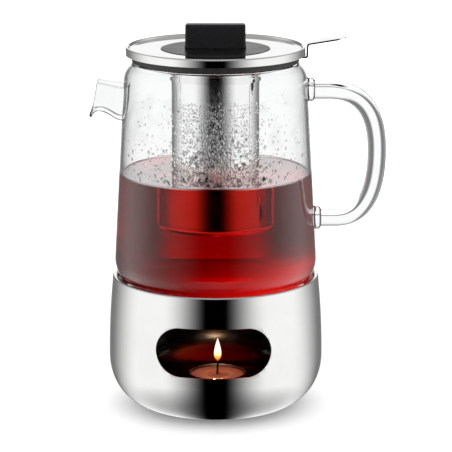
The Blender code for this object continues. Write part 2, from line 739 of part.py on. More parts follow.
def strainer_seal():
    """Silicone ring: a groove that grips the flange, and a plug that centres it in the neck."""
    bore = NECK_RADIUS - GLASS_WALL
    plug = bore - GAP
    plug_inner = plug - SEAL_PLUG_WIDTH
    groove = FLANGE_RADIUS + GAP
    low = SEAL_BOTTOM - SEAL_PLUG_DEPTH
    outline = [
        (NECK_RADIUS, SEAL_TOP),
        (NECK_RADIUS, SEAL_BOTTOM),
        (plug, SEAL_BOTTOM),
        (plug, low + SEAL_PLUG_WIDTH / 2),
        (plug - SEAL_PLUG_WIDTH / 2, low),
        (plug_inner, low),
        (plug_inner, FLANGE_BOTTOM - GAP),
        (groove, FLANGE_BOTTOM - GAP),
        (groove, FLANGE_TOP + GAP),
        (NECK_RADIUS - SEAL_TOP_LIP, FLANGE_TOP + GAP),
        (NECK_RADIUS - SEAL_TOP_LIP, SEAL_TOP),
    ]
    ring = turned("strainer_seal", outline, SILICONE)
    half = TONGUE_WIDTH / 2 + GAP
    low = (FLANGE_RADIUS - SEAL_TOP_LIP * 2, -half, FLANGE_BOTTOM - GAP)
    high = (NECK_RADIUS + LID_OVERHANG, half, SEAL_TOP + SEAL_FOOT)
    cut(ring, box("tongue_slot_cutter", low, high))


def strainer_tongue():
    """Bent strip that lifts the strainer: out of the seal, up past the lid's wall, then out to a round end."""
    start = FLANGE_RADIUS + GAP + TONGUE_SHEET / 2
    bend = LID_RADIUS + GAP * 2 + TONGUE_SHEET
    low = FLANGE_BOTTOM
    step = low + TONGUE_STEP
    half = TONGUE_WIDTH / 2
    tip = bend + TONGUE_LENGTH
    stations = [
        (start, low, half),
        (bend - TONGUE_SHEET * 1.5, low, half),
        (bend, low + TONGUE_SHEET, half),
        (bend, step - TONGUE_SHEET, half),
        (bend + TONGUE_SHEET, step, half),
    ]
    run = tip - bend - TONGUE_SHEET
    for angle in (0, 30, 55, 75, 88):
        x = tip - half + half * math.sin(math.radians(angle))
        z = step + TONGUE_RISE * (x - bend - TONGUE_SHEET) / run
        stations.append((x, z, half * math.cos(math.radians(angle))))
    rings = [[(x, -w, z), (x, w, z)] for x, z, w in stations]
    tongue = lofted("strainer_tongue", rings, STEEL, closed=False)
    thick = tongue.modifiers.new("sheet", "SOLIDIFY")
    thick.thickness = TONGUE_SHEET
    thick.offset = -1.0


# ---------------------------------------------------------------- lid
def lid():
    """Pressed cover with a raised lip, lined below, with a black disc let into its middle under the knob."""
    wall_top = LID_SHOULDER
    crest = LID_RADIUS - LIP_WIDTH / 2
    cover_line = [
        (LID_RADIUS, LID_BOTTOM),
        (LID_RADIUS, wall_top),
        (LID_RADIUS - LID_SHEET * 0.4, wall_top + LID_SHEET * 0.7),
        (crest, wall_top + LID_SHEET),
        (LID_RADIUS - LIP_WIDTH, LID_PLATE),
        (SEAT_RADIUS, LID_PLATE),
        (SEAT_RADIUS, SEAT_TOP),
        (SCREW_HOLE_RADIUS, SEAT_TOP),
    ]
    turned("lid_cover", sheet(cover_line, LID_SHEET), STEEL)

    liner_radius = LID_RADIUS - LID_SHEET - GAP
    collar = STRAINER_RADIUS - STRAINER_SHEET - LINER_COLLAR_CLEARANCE
    liner_line = [
        (collar, LID_BOTTOM - LINER_COLLAR_DEPTH),
        (collar, LID_BOTTOM - LINER_SHEET),
        (collar + LINER_SHEET, LID_BOTTOM),
        (liner_radius, LID_BOTTOM),
    ]
    turned("lid_liner", sheet(liner_line, LINER_SHEET), STEEL)

    disc_outline = [
        (SCREW_HOLE_RADIUS, DISC_TOP),
        (LID_DISC_RADIUS, DISC_TOP),
        (LID_DISC_RADIUS, DISC_BOTTOM),
        (SCREW_HOLE_RADIUS, DISC_BOTTOM),
    ]
    turned("lid_disc", disc_outline, PLASTIC)
    knob()


def rounded_rectangle(half_x, half_y, radius, height):
    """Ring of points at a height, with three points on each round corner."""
    points = []
    for sx, sy, start in ((1, 1, 0), (-1, 1, 90), (-1, -1, 180), (1, -1, 270)):
        for turn in (0, 30, 60, 90):
            angle = math.radians(start + turn)
            x = sx * (half_x - radius) + radius * math.cos(angle)
            y = sy * (half_y - radius) + radius * math.sin(angle)
            points.append((x, y, height))
    return points


def knob():
    """Bar knob with a flared foot, held from below by a screw and a washer."""
    levels = [(KNOB_FLARE, 0.0), (KNOB_FLARE * 0.4, KNOB_FLARE * 0.5), (0.0, KNOB_FLARE * 1.5)]
    levels += [(0.0, KNOB_HEIGHT - KNOB_EDGE), (-KNOB_EDGE, KNOB_HEIGHT)]
    rings = [
        rounded_rectangle(
            KNOB_LENGTH / 2 + grow, KNOB_WIDTH / 2 + grow, KNOB_ROUND + grow, KNOB_BOTTOM + rise
        )
        for grow, rise in levels
    ]
    bar = lofted("lid_knob", rings, PLASTIC)
    hole_top = KNOB_BOTTOM + SCREW_GRIP + GAP
    cut(bar, round_cutter("screw_cutter", SCREW_HOLE_RADIUS, KNOB_BOTTOM - KNOB_FLARE, hole_top, 0.0))

    washer_top = SEAT_TOP - LID_SHEET - GAP
    washer_low = washer_top - WASHER_SHEET
    washer_outline = [
        (SCREW_HOLE_RADIUS, washer_top),
        (WASHER_RADIUS, washer_top),
        (WASHER_RADIUS, washer_low),
        (SCREW_HOLE_RADIUS, washer_low),
    ]
    turned("knob_washer", washer_outline, STEEL, steps=SMALL_STEPS)

    head_top = washer_low - GAP
    head_low = head_top - SCREW_HEAD_HEIGHT
    screw_outline = [
        (0.0, KNOB_BOTTOM + SCREW_GRIP),
        (SCREW_RADIUS, KNOB_BOTTOM + SCREW_GRIP),
        (SCREW_RADIUS, head_top),
        (SCREW_HEAD_RADIUS, head_top),
        (SCREW_HEAD_RADIUS, head_low + SCREW_SLOT_DEPTH),
        (SCREW_HEAD_RADIUS - SCREW_SLOT_DEPTH, head_low),
        (0.0, head_low),
    ]
    screw = turned("knob_screw", screw_outline, STEEL, steps=12)
    reach = SCREW_HEAD_RADIUS + SCREW_SLOT_WIDTH
    low = (-reach, -SCREW_SLOT_WIDTH / 2, head_low - SCREW_SLOT_WIDTH)
    high = (reach, SCREW_SLOT_WIDTH / 2, head_low + SCREW_SLOT_DEPTH)
    cut(screw, box("slot_cutter", low, high))


warmer_shell()
base_pad()
tealight_tray()
pot_rest()
tealight()
jug()
strainer()
lid()
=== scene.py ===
"""Looks of a glass teapot on its candle warmer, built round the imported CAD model.

Metres, +Z up, origin on the jug's axis at table height. The spout points to -X, the handle to +X and the
warmer's window to -Y. Sizes come from the boxes of the CAD nodes wherever a node holds them.
"""

import json
import math
import random

import bpy
import numpy as np
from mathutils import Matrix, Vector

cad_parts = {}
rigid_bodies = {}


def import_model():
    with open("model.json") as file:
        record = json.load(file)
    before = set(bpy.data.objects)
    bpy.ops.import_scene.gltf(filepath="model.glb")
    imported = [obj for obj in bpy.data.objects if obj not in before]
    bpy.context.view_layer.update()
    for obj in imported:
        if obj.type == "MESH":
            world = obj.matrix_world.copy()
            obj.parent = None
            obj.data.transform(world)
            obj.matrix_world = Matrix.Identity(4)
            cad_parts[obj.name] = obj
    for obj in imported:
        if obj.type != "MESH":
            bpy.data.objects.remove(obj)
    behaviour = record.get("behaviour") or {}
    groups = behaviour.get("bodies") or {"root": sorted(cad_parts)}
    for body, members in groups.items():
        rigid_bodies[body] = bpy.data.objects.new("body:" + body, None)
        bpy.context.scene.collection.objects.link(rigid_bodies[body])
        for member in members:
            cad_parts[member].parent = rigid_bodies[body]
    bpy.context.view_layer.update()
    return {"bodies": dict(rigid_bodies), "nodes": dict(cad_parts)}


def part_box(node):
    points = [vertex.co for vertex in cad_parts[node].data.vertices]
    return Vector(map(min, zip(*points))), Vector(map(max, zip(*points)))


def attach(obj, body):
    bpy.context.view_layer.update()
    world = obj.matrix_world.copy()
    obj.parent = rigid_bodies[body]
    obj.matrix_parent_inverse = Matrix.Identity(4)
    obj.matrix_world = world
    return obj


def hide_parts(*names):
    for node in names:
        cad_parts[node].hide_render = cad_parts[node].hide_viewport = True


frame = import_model()


# ---------------------------------------------------------------- warmer bowl
# The warmer is one sheet of stainless steel, spun into a bowl, hemmed inwards at the rim and polished
# outside. Inside, below a bright band at the rim, its steel is painted near-black as shade. The window is
# punched out of its front.
def deselect():
    if bpy.context.mode != "OBJECT":
        bpy.ops.object.mode_set(mode="OBJECT")
    bpy.ops.object.select_all(action="DESELECT")


def draw_line(name, points):
    """Starts a piece with one point, and pulls points (radius, height) out of it in the XZ plane."""
    deselect()
    bpy.ops.mesh.primitive_plane_add(size=0.01)
    piece = bpy.context.object
    piece.name = piece.data.name = name
    bpy.ops.object.mode_set(mode="EDIT")
    bpy.ops.mesh.merge(type="CENTER")
    here = (0.0, 0.0)
    for i, there in enumerate(points):
        step = (there[0] - here[0], 0.0, there[1] - here[1])
        if i == 0:
            bpy.ops.transform.translate(value=step)
        else:
            bpy.ops.mesh.extrude_region_move(TRANSFORM_OT_translate={"value": step})
        here = there
    return piece


def turned(name, points, steps=128, wall=0.0, smooth=40.0):
    """Turns a line of (radius, height) about Z. With a wall, the sheet grows from the line to its inside."""
    piece = draw_line(name, points)
    bpy.ops.mesh.select_all(action="SELECT")
    bpy.ops.mesh.spin(steps=steps, angle=2 * math.pi, center=(0, 0, 0), axis=(0, 0, 1))
    bpy.ops.mesh.select_all(action="SELECT")
    bpy.ops.mesh.remove_doubles(threshold=2e-6)
    bpy.ops.mesh.normals_make_consistent(inside=False)
    bpy.ops.object.mode_set(mode="OBJECT")
    if wall:
        thicken(piece, wall)
    bpy.ops.object.shade_smooth_by_angle(angle=math.radians(smooth))
    return piece


def apply(piece, kind, **settings):
    """Adds a modifier, sets it and applies it."""
    deselect()
    bpy.context.view_layer.objects.active = piece
    piece.select_set(True)
    change = piece.modifiers.new(kind.lower(), kind)
    for setting, value in settings.items():
        setattr(change, setting, value)
    bpy.ops.object.modifier_apply(modifier=change.name)


def thicken(piece, wall, inner_finish=0):
    apply(
        piece, "SOLIDIFY", thickness=wall, offset=-1.0, use_even_offset=True, material_offset=inner_finish
    )


def arc(centre, radius, start, end, count):
    """Points on an arc from the start angle to the end angle, in degrees."""
    angles = [math.radians(start + (end - start) * i / count) for i in range(count + 1)]
    return [(centre[0] + radius * math.cos(a), centre[1] + radius * math.sin(a)) for a in angles]


def cut(piece, cutter, operation="DIFFERENCE"):
    """Cuts the cutter out of the piece, or joins it on, and removes the cutter."""
    apply(piece, "BOOLEAN", operation=operation, object=cutter, solver="EXACT")
    bpy.data.objects.remove(cutter)


def new_material(name):
    made = bpy.data.materials.new(name)
    made.use_nodes = True
    tree = made.node_tree
    return made, tree, tree.nodes["Principled BSDF"]


def add_node(tree, kind, **inputs):
    """Adds a shader node. Inputs are given by name, with _ for a space, as values or as sockets."""
    node = tree.nodes.new("ShaderNode" + kind)
    for name, value in inputs.items():
        socket = node.inputs[int(name[1:])] if name[0] == "i" and name[1:].isdigit() else None
        socket = socket or node.inputs[name.replace("_", " ")]
        if isinstance(value, bpy.types.NodeSocket):
            tree.links.new(value, socket)
        else:
            socket.default_value = value
    return node


def calculate(tree, operation, first, second):
    """Arithmetic on two shader values, as numbers or as sockets."""
    made = add_node(tree, "Math", i0=first, i1=second)
    made.operation = operation
    return made.outputs["Value"]


def noise(tree, scale, detail=2.0, stretch=(1.0, 1.0, 1.0)):
    """Noise over Object coordinates, 0 to 1. A stretch of 10 makes its axis 10 times finer."""
    place = add_node(tree, "TexCoord").outputs["Object"]
    sized = add_node(tree, "Mapping", Vector=place, Scale=stretch).outputs["Vector"]
    return add_node(tree, "TexNoise", Vector=sized, Scale=scale, Detail=detail).outputs["Fac"]


def spread(tree, value, low, high, start=0.3, end=0.7):
    """Turns a value from start to end into a number from low to high."""
    made = add_node(tree, "MapRange", Value=value)
    for name, number in (("From Min", start), ("From Max", end), ("To Min", low), ("To Max", high)):
        made.inputs[name].default_value = number
    return made.outputs["Result"]


def shades(tree, value, *stops):
    """Colour ramp through (position, colour) stops."""
    ramp = add_node(tree, "ValToRGB", Fac=value)
    elements = ramp.color_ramp.elements
    for element, (place, colour) in zip(elements, (stops[0], stops[-1])):
        element.position, element.color = place, (*colour, 1.0)
    for place, colour in stops[1:-1]:
        elements.new(place).color = (*colour, 1.0)
    return ramp.outputs["Color"]


def bump(tree, shader, height, strength, depth):
    made = add_node(tree, "Bump", Height=height, Strength=strength, Distance=depth)
    tree.links.new(made.outputs["Normal"], shader.inputs["Normal"])


def finish(piece, materials, body, slot, *nodes):
    """Gives a piece its materials and its body, and lets it stand for CAD nodes."""
    for material in materials:
        if len(piece.data.materials) < len(materials):
            piece.data.materials.append(material)
    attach(piece, body)
    if nodes:
        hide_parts(*nodes)


def steel(name, colour, roughness, spin_grain, worn=0.02):
    """Stainless steel. The spin grain runs round the axis, so its noise is fine in height only."""
    made, tree, shader = new_material(name)
    grain = noise(tree, 9.0, 4.0, (1.0, 1.0, 90.0))
    cloud = noise(tree, 45.0, 3.0)
    dull = tuple(c * 0.94 for c in colour)
    tree.links.new(shades(tree, cloud, (0.3, dull), (0.7, colour)), shader.inputs["Base Color"])
    shader.inputs["Metallic"].default_value = 1.0
    tree.links.new(spread(tree, cloud, roughness, roughness + worn), shader.inputs["Roughness"])
    bump(tree, shader, grain, spin_grain, 0.00002)
    return made


polished_steel = steel("polished_steel", (0.93, 0.93, 0.92), 0.055, 0.05)
# Near-black steel: painted shade, for the inside of the bowl below the rim and for parts that lie in shade.
steel_painted_dark = steel("steel_inside_painted_shade", (0.11, 0.108, 0.105), 0.14, 0.3)
rim_steel = steel("spun_steel_rim", (0.90, 0.89, 0.88), 0.12, 0.1)

SHELL_WALL = 0.0010
HEM_WIDTH = 0.0032
HEM_LEG = 0.0018
CORNER_WIDTH = 0.0289
CORNER_HEIGHT = 0.0334
BELLY = 0.0027
FOOT_RECESS = 0.0037  # flat ring round the pad, inside the corner
WINDOW_HALF_WIDTH = 0.0371
WINDOW_HALF_HEIGHT = 0.0162
WINDOW_DROP = 0.0365  # middle of the window, below the rim
WINDOW_TURN = -1.1
EDGE = 0.0003  # width of the broken edge round a cut
# Below this band the inside steel is painted dark as shade.
BRIGHT_BAND = 0.0125  # the inside is polished that far down from the rim

shell_low, shell_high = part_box("warmer_shell")
pad_low, pad_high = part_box("base_pad")
shell_radius = shell_high.x
rim_radius = shell_radius - BELLY
corner_top = shell_low.z + CORNER_HEIGHT
hem_height = shell_high.z - HEM_WIDTH / 2
recess = shell_radius - CORNER_WIDTH - FOOT_RECESS
floor_height = pad_high.z + 0.0003


def shell_wall(height):
    """Radius of the leaning wall above the corner."""
    return shell_radius - BELLY * ((height - corner_top) / (hem_height - corner_top)) ** 2


corner = [
    (
        shell_radius - CORNER_WIDTH + CORNER_WIDTH * math.sin(math.radians(a)),
        corner_top - CORNER_HEIGHT * math.cos(math.radians(a)),
    )
    for a in range(0, 91, 5)
]
levels = [corner_top + (hem_height - corner_top) * i / 14 for i in range(1, 14)]
outline = [(0.0, floor_height), (recess, floor_height), (recess, shell_low.z)]
outline += corner + [(shell_wall(z), z) for z in levels]
outline += arc((rim_radius - HEM_WIDTH / 2, hem_height), HEM_WIDTH / 2, 0, 180, 10)
outline += [(rim_radius - HEM_WIDTH, hem_height - HEM_LEG)]
bowl = turned("warmer_bowl", outline, steps=240)
for steel_side in (polished_steel, steel_painted_dark, rim_steel):
    bowl.data.materials.append(steel_side)
thicken(bowl, SHELL_WALL, inner_finish=1)
# The inside keeps bright steel only in a band below the rim; lower down it is painted dark as shade.
for face in bowl.data.polygons:
    if face.material_index == 1 and face.center.z > shell_high.z - BRIGHT_BAND:
        face.material_index = 2

deselect()
bpy.ops.mesh.primitive_circle_add(
    vertices=48, radius=WINDOW_HALF_HEIGHT, fill_type="NGON", rotation=(math.pi / 2, 0, 0)
)
window_cutter = bpy.context.object
bpy.ops.object.transform_apply(location=False)
shift = WINDOW_HALF_WIDTH - WINDOW_HALF_HEIGHT
for vert in window_cutter.data.vertices:
    if abs(vert.co.x) > 1e-6:
        vert.co.x += math.copysign(shift, vert.co.x)
bpy.ops.object.mode_set(mode="EDIT")
bpy.ops.mesh.select_all(action="SELECT")
bpy.ops.transform.translate(value=(0, -shell_radius - 0.01, shell_high.z - WINDOW_DROP))
bpy.ops.mesh.extrude_region_move(TRANSFORM_OT_translate={"value": (0, 0.05, 0)})
bpy.ops.mesh.select_all(action="SELECT")
bpy.ops.transform.rotate(value=-math.radians(WINDOW_TURN), orient_axis="Z", center_override=(0, 0, 0))
bpy.ops.mesh.normals_make_consistent(inside=False)
bpy.ops.object.mode_set(mode="OBJECT")
cut(bowl, window_cutter)
apply(bowl, "BEVEL", width=EDGE / 2, segments=2, limit_method="ANGLE", angle_limit=math.radians(60))
bpy.ops.object.shade_smooth_by_angle(angle=math.radians(35))
finish(bowl, [polished_steel, steel_painted_dark, rim_steel], "warmer", "polished_steel", "warmer_shell")


# ---------------------------------------------------------------- base pad
# The pad under the bowl is a disc of black silicone, pressed into the bowl's recess, with two raised
# rings below that grip the table.
def rubber(name, colour, roughness):
    made, tree, shader = new_material(name)
    dust = noise(tree, 260.0, 6.0)
    pale = tuple(c * 1.8 for c in colour)
    tree.links.new(shades(tree, dust, (0.35, colour), (0.75, pale)), shader.inputs["Base Color"])
    tree.links.new(spread(tree, dust, roughness - 0.05, roughness + 0.08), shader.inputs["Roughness"])
    bump(tree, shader, noise(tree, 1400.0, 3.0), 0.25, 0.00003)
    return made


silicone = rubber("black_silicone", (0.012, 0.012, 0.013), 0.42)

GRIP = 0.0012
outline = [(0.0, pad_high.z), (pad_high.x - EDGE, pad_high.z), (pad_high.x, pad_high.z - EDGE)]
outline += arc((pad_high.x - GRIP, pad_low.z + GRIP), GRIP, 0, -90, 6)
for ring in (0.78, 0.52):
    middle = pad_high.x * ring
    outline += [
        (middle + GRIP * 2, pad_low.z),
        (middle + GRIP, pad_low.z + GRIP / 2),
        (middle, pad_low.z + GRIP / 2),
        (middle - GRIP, pad_low.z),
    ]
outline += [(0.0, pad_low.z)]
finish(turned("grip_pad", outline, 96), [silicone], "warmer", "silicone", "base_pad")


# ---------------------------------------------------------------- tealight tray
# A shallow pressed dish on the bowl's floor keeps the tealight in the middle.
TRAY_SHEET = 0.0006
TRAY_FLARE = 0.0012
tray_low, tray_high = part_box("tealight_tray")
tray_wall = tray_high.x - TRAY_FLARE
outline = [(0.0, tray_low.z)]
outline += arc((tray_wall - TRAY_FLARE, tray_low.z + TRAY_FLARE), TRAY_FLARE, -90, 0, 5)
outline += [
    (tray_wall, tray_high.z - TRAY_FLARE), (tray_high.x - TRAY_FLARE / 3, tray_high.z - TRAY_FLARE / 3)
]
outline += [(tray_high.x, tray_high.z)]
tray = turned("tealight_dish", outline, 96, wall=TRAY_SHEET)
# The dish takes the dark steel of the bowl's inside, painted as shade.
finish(tray, [steel_painted_dark], "warmer", "polished_steel", "tealight_tray")


# ---------------------------------------------------------------- pot rest
# The jug stands on a pressed steel ring with six vents in its cone. Three silicone buttons, pushed
# through holes in its ledge, keep glass off metal.
REST_SHEET = 0.0008
REST_RISE = 0.0042
REST_LIP = 0.0015
LEDGE_INNER = 0.0370
LEDGE_OUTER = 0.0460
VENT_RADIUS = 0.0040
VENT_TURN = 32.25
rest_low, rest_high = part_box("pot_rest_ring")
cone_top = rest_high.z
ledge = cone_top - REST_RISE
skirt = rest_high.x
bend = REST_SHEET
outline = [(skirt, rest_low.z), (skirt, cone_top - bend), (skirt - bend, cone_top)]
outline += [(LEDGE_OUTER + bend, ledge + 0.0002), (LEDGE_OUTER - bend, ledge)]
outline += [(LEDGE_INNER + bend, ledge), (LEDGE_INNER, ledge - bend), (LEDGE_INNER, ledge - REST_LIP - bend)]
rest = turned("rest_ring", outline, 128, wall=REST_SHEET)
vent_place = (LEDGE_OUTER + skirt) / 2
for i in range(6):
    angle = math.radians(VENT_TURN + 60 * i)
    deselect()
    bpy.ops.mesh.primitive_cylinder_add(
        vertices=32,
        radius=VENT_RADIUS,
        depth=0.03,
        location=(vent_place * math.cos(angle), vent_place * math.sin(angle), ledge),
    )
    cut(rest, bpy.context.object)
apply(rest, "BEVEL", width=EDGE / 2, segments=2, limit_method="ANGLE", angle_limit=math.radians(50))
bpy.ops.object.shade_smooth_by_angle(angle=math.radians(35))
finish(rest, [polished_steel], "warmer", "polished_steel", "pot_rest_ring")

BUTTON_ROUND = 0.0009
for i in range(3):
    node = f"rest_buffer_{i + 1}"
    low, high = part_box(node)
    head = (high.x - low.x) / 2
    outline = [(0.0, high.z), (head - BUTTON_ROUND, high.z)]
    outline += arc((head - BUTTON_ROUND, high.z - BUTTON_ROUND), BUTTON_ROUND, 90, 0, 5)
    outline += [(head, high.z - 0.0024), (head * 0.37, high.z - 0.0024), (head * 0.37, low.z + 0.0014)]
    outline += [(head * 0.55, low.z + 0.0012), (head * 0.30, low.z), (0.0, low.z)]
    button = turned(f"rest_button_{i + 1}", outline, 32)
    bpy.ops.object.mode_set(mode="EDIT")
    bpy.ops.mesh.select_all(action="SELECT")
    bpy.ops.transform.translate(value=((low.x + high.x) / 2, (low.y + high.y) / 2, 0))
    bpy.ops.object.mode_set(mode="OBJECT")
    finish(button, [silicone], "warmer", "silicone", node)


# ---------------------------------------------------------------- tealight
# The tealight is a drawn aluminium cup of pinkish wax. Its wick stands in a tin tab, and a shallow
# pool has melted round it. The flame leans on the burnt end of the wick.
cup_low, cup_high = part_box("tealight_cup")
wax_low, wax_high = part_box("tealight_wax")
wick_low, wick_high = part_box("wick")
light_x = (cup_low.x + cup_high.x) / 2
cup_radius = (cup_high.x - cup_low.x) / 2
CUP_SHEET = 0.0004
CUP_ROUND = 0.0009
FLUTES = 60
FLUTE_DEPTH = 0.00012


def move_mesh(piece, x=0.0, y=0.0, z=0.0):
    """Moves the mesh of a piece, and leaves its object at the origin."""
    deselect()
    bpy.context.view_layer.objects.active = piece
    piece.select_set(True)
    bpy.ops.object.mode_set(mode="EDIT")
    bpy.ops.mesh.select_all(action="SELECT")
    bpy.ops.transform.translate(value=(x, y, z))
    bpy.ops.object.mode_set(mode="OBJECT")


outline = [(0.0, cup_low.z + 0.0003), (cup_radius * 0.8, cup_low.z + 0.0003), (cup_radius * 0.84, cup_low.z)]
outline += arc((cup_radius - 0.0006 - CUP_ROUND, cup_low.z + CUP_ROUND), CUP_ROUND, -90, 0, 5)
rise = cup_high.z - cup_low.z
outline += [(cup_radius - 0.0006 + 0.0003 * i / 6, cup_low.z + rise * (0.12 + 0.13 * i)) for i in range(7)]
outline += [(cup_radius - 0.0002, cup_high.z - 0.0004), (cup_radius, cup_high.z)]
cup = turned("tealight_cup_drawn", outline, FLUTES * 4)
for vert in cup.data.vertices:
    up = (vert.co.z - cup_low.z) / rise
    if 0.1 < up < 0.93:
        turn = math.atan2(vert.co.y, vert.co.x)
        pull = 1 - FLUTE_DEPTH / cup_radius * (1 + math.cos(FLUTES * turn))
        vert.co.x, vert.co.y = vert.co.x * pull, vert.co.y * pull
thicken(cup, CUP_SHEET)
bpy.ops.object.shade_smooth_by_angle(angle=math.radians(50))
move_mesh(cup, light_x)
tin, tree, shader = new_material("drawn_aluminium")
shader.inputs["Metallic"].default_value = 1.0
soot = noise(tree, 60.0, 5.0)
tree.links.new(
    shades(tree, soot, (0.3, (0.30, 0.28, 0.27)), (0.7, (0.62, 0.60, 0.58))), shader.inputs["Base Color"]
)
tree.links.new(spread(tree, soot, 0.28, 0.42), shader.inputs["Roughness"])
bump(tree, shader, noise(tree, 90.0, 4.0, (1, 1, 12)), 0.3, 0.00005)
finish(cup, [tin], "tealight", "tealight_aluminium", "tealight_cup")
frame["nodes"]["wick_tab"].data.materials.clear()
frame["nodes"]["wick_tab"].data.materials.append(tin)

wax_radius = (wax_high.x - wax_low.x) / 2
POOL_RADIUS = 0.0078
POOL_DROP = 0.0007
outline = [(0.0, wax_low.z), (wax_radius - 0.0005, wax_low.z), (wax_radius, wax_low.z + 0.0005)]
outline += [
    (wax_radius, wax_high.z - 0.0005),
    (wax_radius - 0.0004, wax_high.z - 0.0001),
    (wax_radius - 0.0012, wax_high.z),
]
outline += [(POOL_RADIUS + 0.0024, wax_high.z - 0.0001), (POOL_RADIUS + 0.0010, wax_high.z + 0.0001)]
outline += [(POOL_RADIUS, wax_high.z - POOL_DROP * 0.5), (POOL_RADIUS - 0.0008, wax_high.z - POOL_DROP)]
outline += [
    (0.0020, wax_high.z - POOL_DROP),
    (0.0009, wax_high.z - POOL_DROP * 0.6),
    (0.0, wax_high.z - POOL_DROP * 0.6),
]
wax_cake = turned("wax_cake", outline, 96)
for vert in wax_cake.data.vertices:
    if vert.co.z > wax_high.z - 0.001 and 0.002 < math.hypot(vert.co.x, vert.co.y) < wax_radius - 0.002:
        turn = math.atan2(vert.co.y, vert.co.x)
        stretch = 1 + 0.05 * math.sin(3 * turn + 0.6) + 0.03 * math.sin(5 * turn + 2.1)
        vert.co.x, vert.co.y = vert.co.x * stretch, vert.co.y * stretch
move_mesh(wax_cake, light_x)
wax, tree, shader = new_material("pink_wax")
place = add_node(tree, "TexCoord").outputs["Object"]
centred = add_node(tree, "Mapping", Vector=place, Location=(-light_x, 0, -wax_high.z)).outputs["Vector"]
flat = add_node(tree, "Mapping", Vector=centred, Scale=(1, 1, 0)).outputs["Vector"]
out = add_node(tree, "VectorMath", i0=flat)
out.operation = "LENGTH"
distance = out.outputs["Value"]
# The wax's colour paints the flame's glow: bright orange in the pool round the wick, darker out toward the
# cup, with a darker dip just at the pool's edge.
painted_glow = shades(
    tree,
    spread(tree, distance, 0.0, 1.0, 0.0, wax_radius),
    (0.0, (0.80, 0.42, 0.22)),
    (0.42, (0.62, 0.27, 0.17)),
    (0.50, (0.66, 0.34, 0.25)),
    (1.0, (0.50, 0.25, 0.20)),
)
mottle = noise(tree, 420.0, 5.0)
mixed = add_node(tree, "Mix", Factor=spread(tree, mottle, 0.0, 0.35))
mixed.data_type = "RGBA"
tree.links.new(painted_glow, mixed.inputs["A"])
mixed.inputs["B"].default_value = (0.76, 0.47, 0.38, 1.0)
tree.links.new(mixed.outputs["Result"], shader.inputs["Base Color"])
tree.links.new(
    spread(tree, distance, 0.12, 0.5, POOL_RADIUS * 0.9, POOL_RADIUS * 1.1), shader.inputs["Roughness"]
)
shader.inputs["Subsurface Weight"].default_value = 0.35
shader.inputs["Subsurface Radius"].default_value = (0.004, 0.0018, 0.001)
shader.inputs["Subsurface Scale"].default_value = 0.6
bump(tree, shader, mottle, 0.3, 0.0001)
finish(wax_cake, [wax], "tealight", "wax", "tealight_wax")

WICK_RADIUS = 0.0007
outline = [(0.0, wick_low.z)]
for i in range(40):
    z = wick_low.z + (wick_high.z - wick_low.z) * i / 39
    outline.append((WICK_RADIUS * (1.0 - 0.10 * (i % 2) - 0.25 * (i / 39) ** 6), z))
outline.append((0.0, wick_high.z))
braid = turned("braided_wick", outline, 16)
for vert in braid.data.vertices:
    up = max(vert.co.z - wax_high.z, 0.0)
    vert.co.x += 2.2 * up * up
move_mesh(braid, (wick_low.x + wick_high.x) / 2 - 0.0001)
cotton, tree, shader = new_material("burnt_cotton")
height = add_node(tree, "SeparateXYZ", Vector=add_node(tree, "TexCoord").outputs["Object"]).outputs["Z"]
burn = spread(tree, height, 0.0, 1.0, wax_high.z, wick_high.z)
tree.links.new(
    shades(
        tree,
        burn,
        (0.0, (0.10, 0.06, 0.04)),
        (0.3, (0.010, 0.008, 0.007)),
        (0.85, (0.02, 0.01, 0.005)),
        (1.0, (0.30, 0.05, 0.01)),
    ),
    shader.inputs["Base Color"],
)
tree.links.new(
    shades(tree, burn, (0.80, (0.0, 0.0, 0.0)), (1.0, (1.0, 0.16, 0.02))), shader.inputs["Emission Color"]
)
shader.inputs["Emission Strength"].default_value = 3.0
shader.inputs["Roughness"].default_value = 0.9
bump(tree, shader, noise(tree, 1500.0, 3.0), 0.6, 0.0001)
finish(braid, [cotton], "tealight", "wick", "wick")

FLAME_HEIGHT = 0.0152
FLAME_RADIUS = 0.0027
flame_low = wick_high.z - 0.0016
outline = [(0.0, flame_low)]
for i in range(1, 24):
    up = i / 24
    outline.append(
        (
            FLAME_RADIUS * (math.sin(math.pi * up**0.62) ** 0.85) * (1 - 0.25 * up),
            flame_low + FLAME_HEIGHT * up,
        )
    )
outline.append((0.0, flame_low + FLAME_HEIGHT))
flame = turned("flame", outline, 32, smooth=80)
move_mesh(flame, (wick_low.x + wick_high.x) / 2 + 0.0001)
fire = bpy.data.materials.new("candle_flame")
fire.use_nodes = True
tree = fire.node_tree
tree.nodes.clear()
height = add_node(tree, "SeparateXYZ", Vector=add_node(tree, "TexCoord").outputs["Object"]).outputs["Z"]
up = spread(tree, height, 0.0, 1.0, flame_low, flame_low + FLAME_HEIGHT)
burning = shades(
    tree,
    up,
    (0.0, (0.55, 0.10, 0.01)),
    (0.16, (1.0, 0.30, 0.03)),
    (0.30, (1.0, 0.78, 0.36)),
    (0.55, (1.0, 0.95, 0.78)),
    (0.80, (1.0, 0.93, 0.70)),
    (1.0, (1.0, 0.60, 0.20)),
)
rim = add_node(tree, "LayerWeight", Blend=0.35).outputs["Facing"]
light = add_node(tree, "Emission", Color=burning)
tree.links.new(spread(tree, rim, 1.7, 0.7, 0.2, 0.95), light.inputs["Strength"])
clear = add_node(tree, "BsdfTransparent")
blend = add_node(tree, "MixShader", i1=light.outputs["Emission"], i2=clear.outputs["BSDF"])
tree.links.new(spread(tree, rim, 0.0, 0.9, 0.55, 1.0), blend.inputs["Fac"])
output = tree.nodes.new("ShaderNodeOutputMaterial")
tree.links.new(blend.outputs["Shader"], output.inputs["Surface"])
finish(flame, [fire], "tealight", "wick")

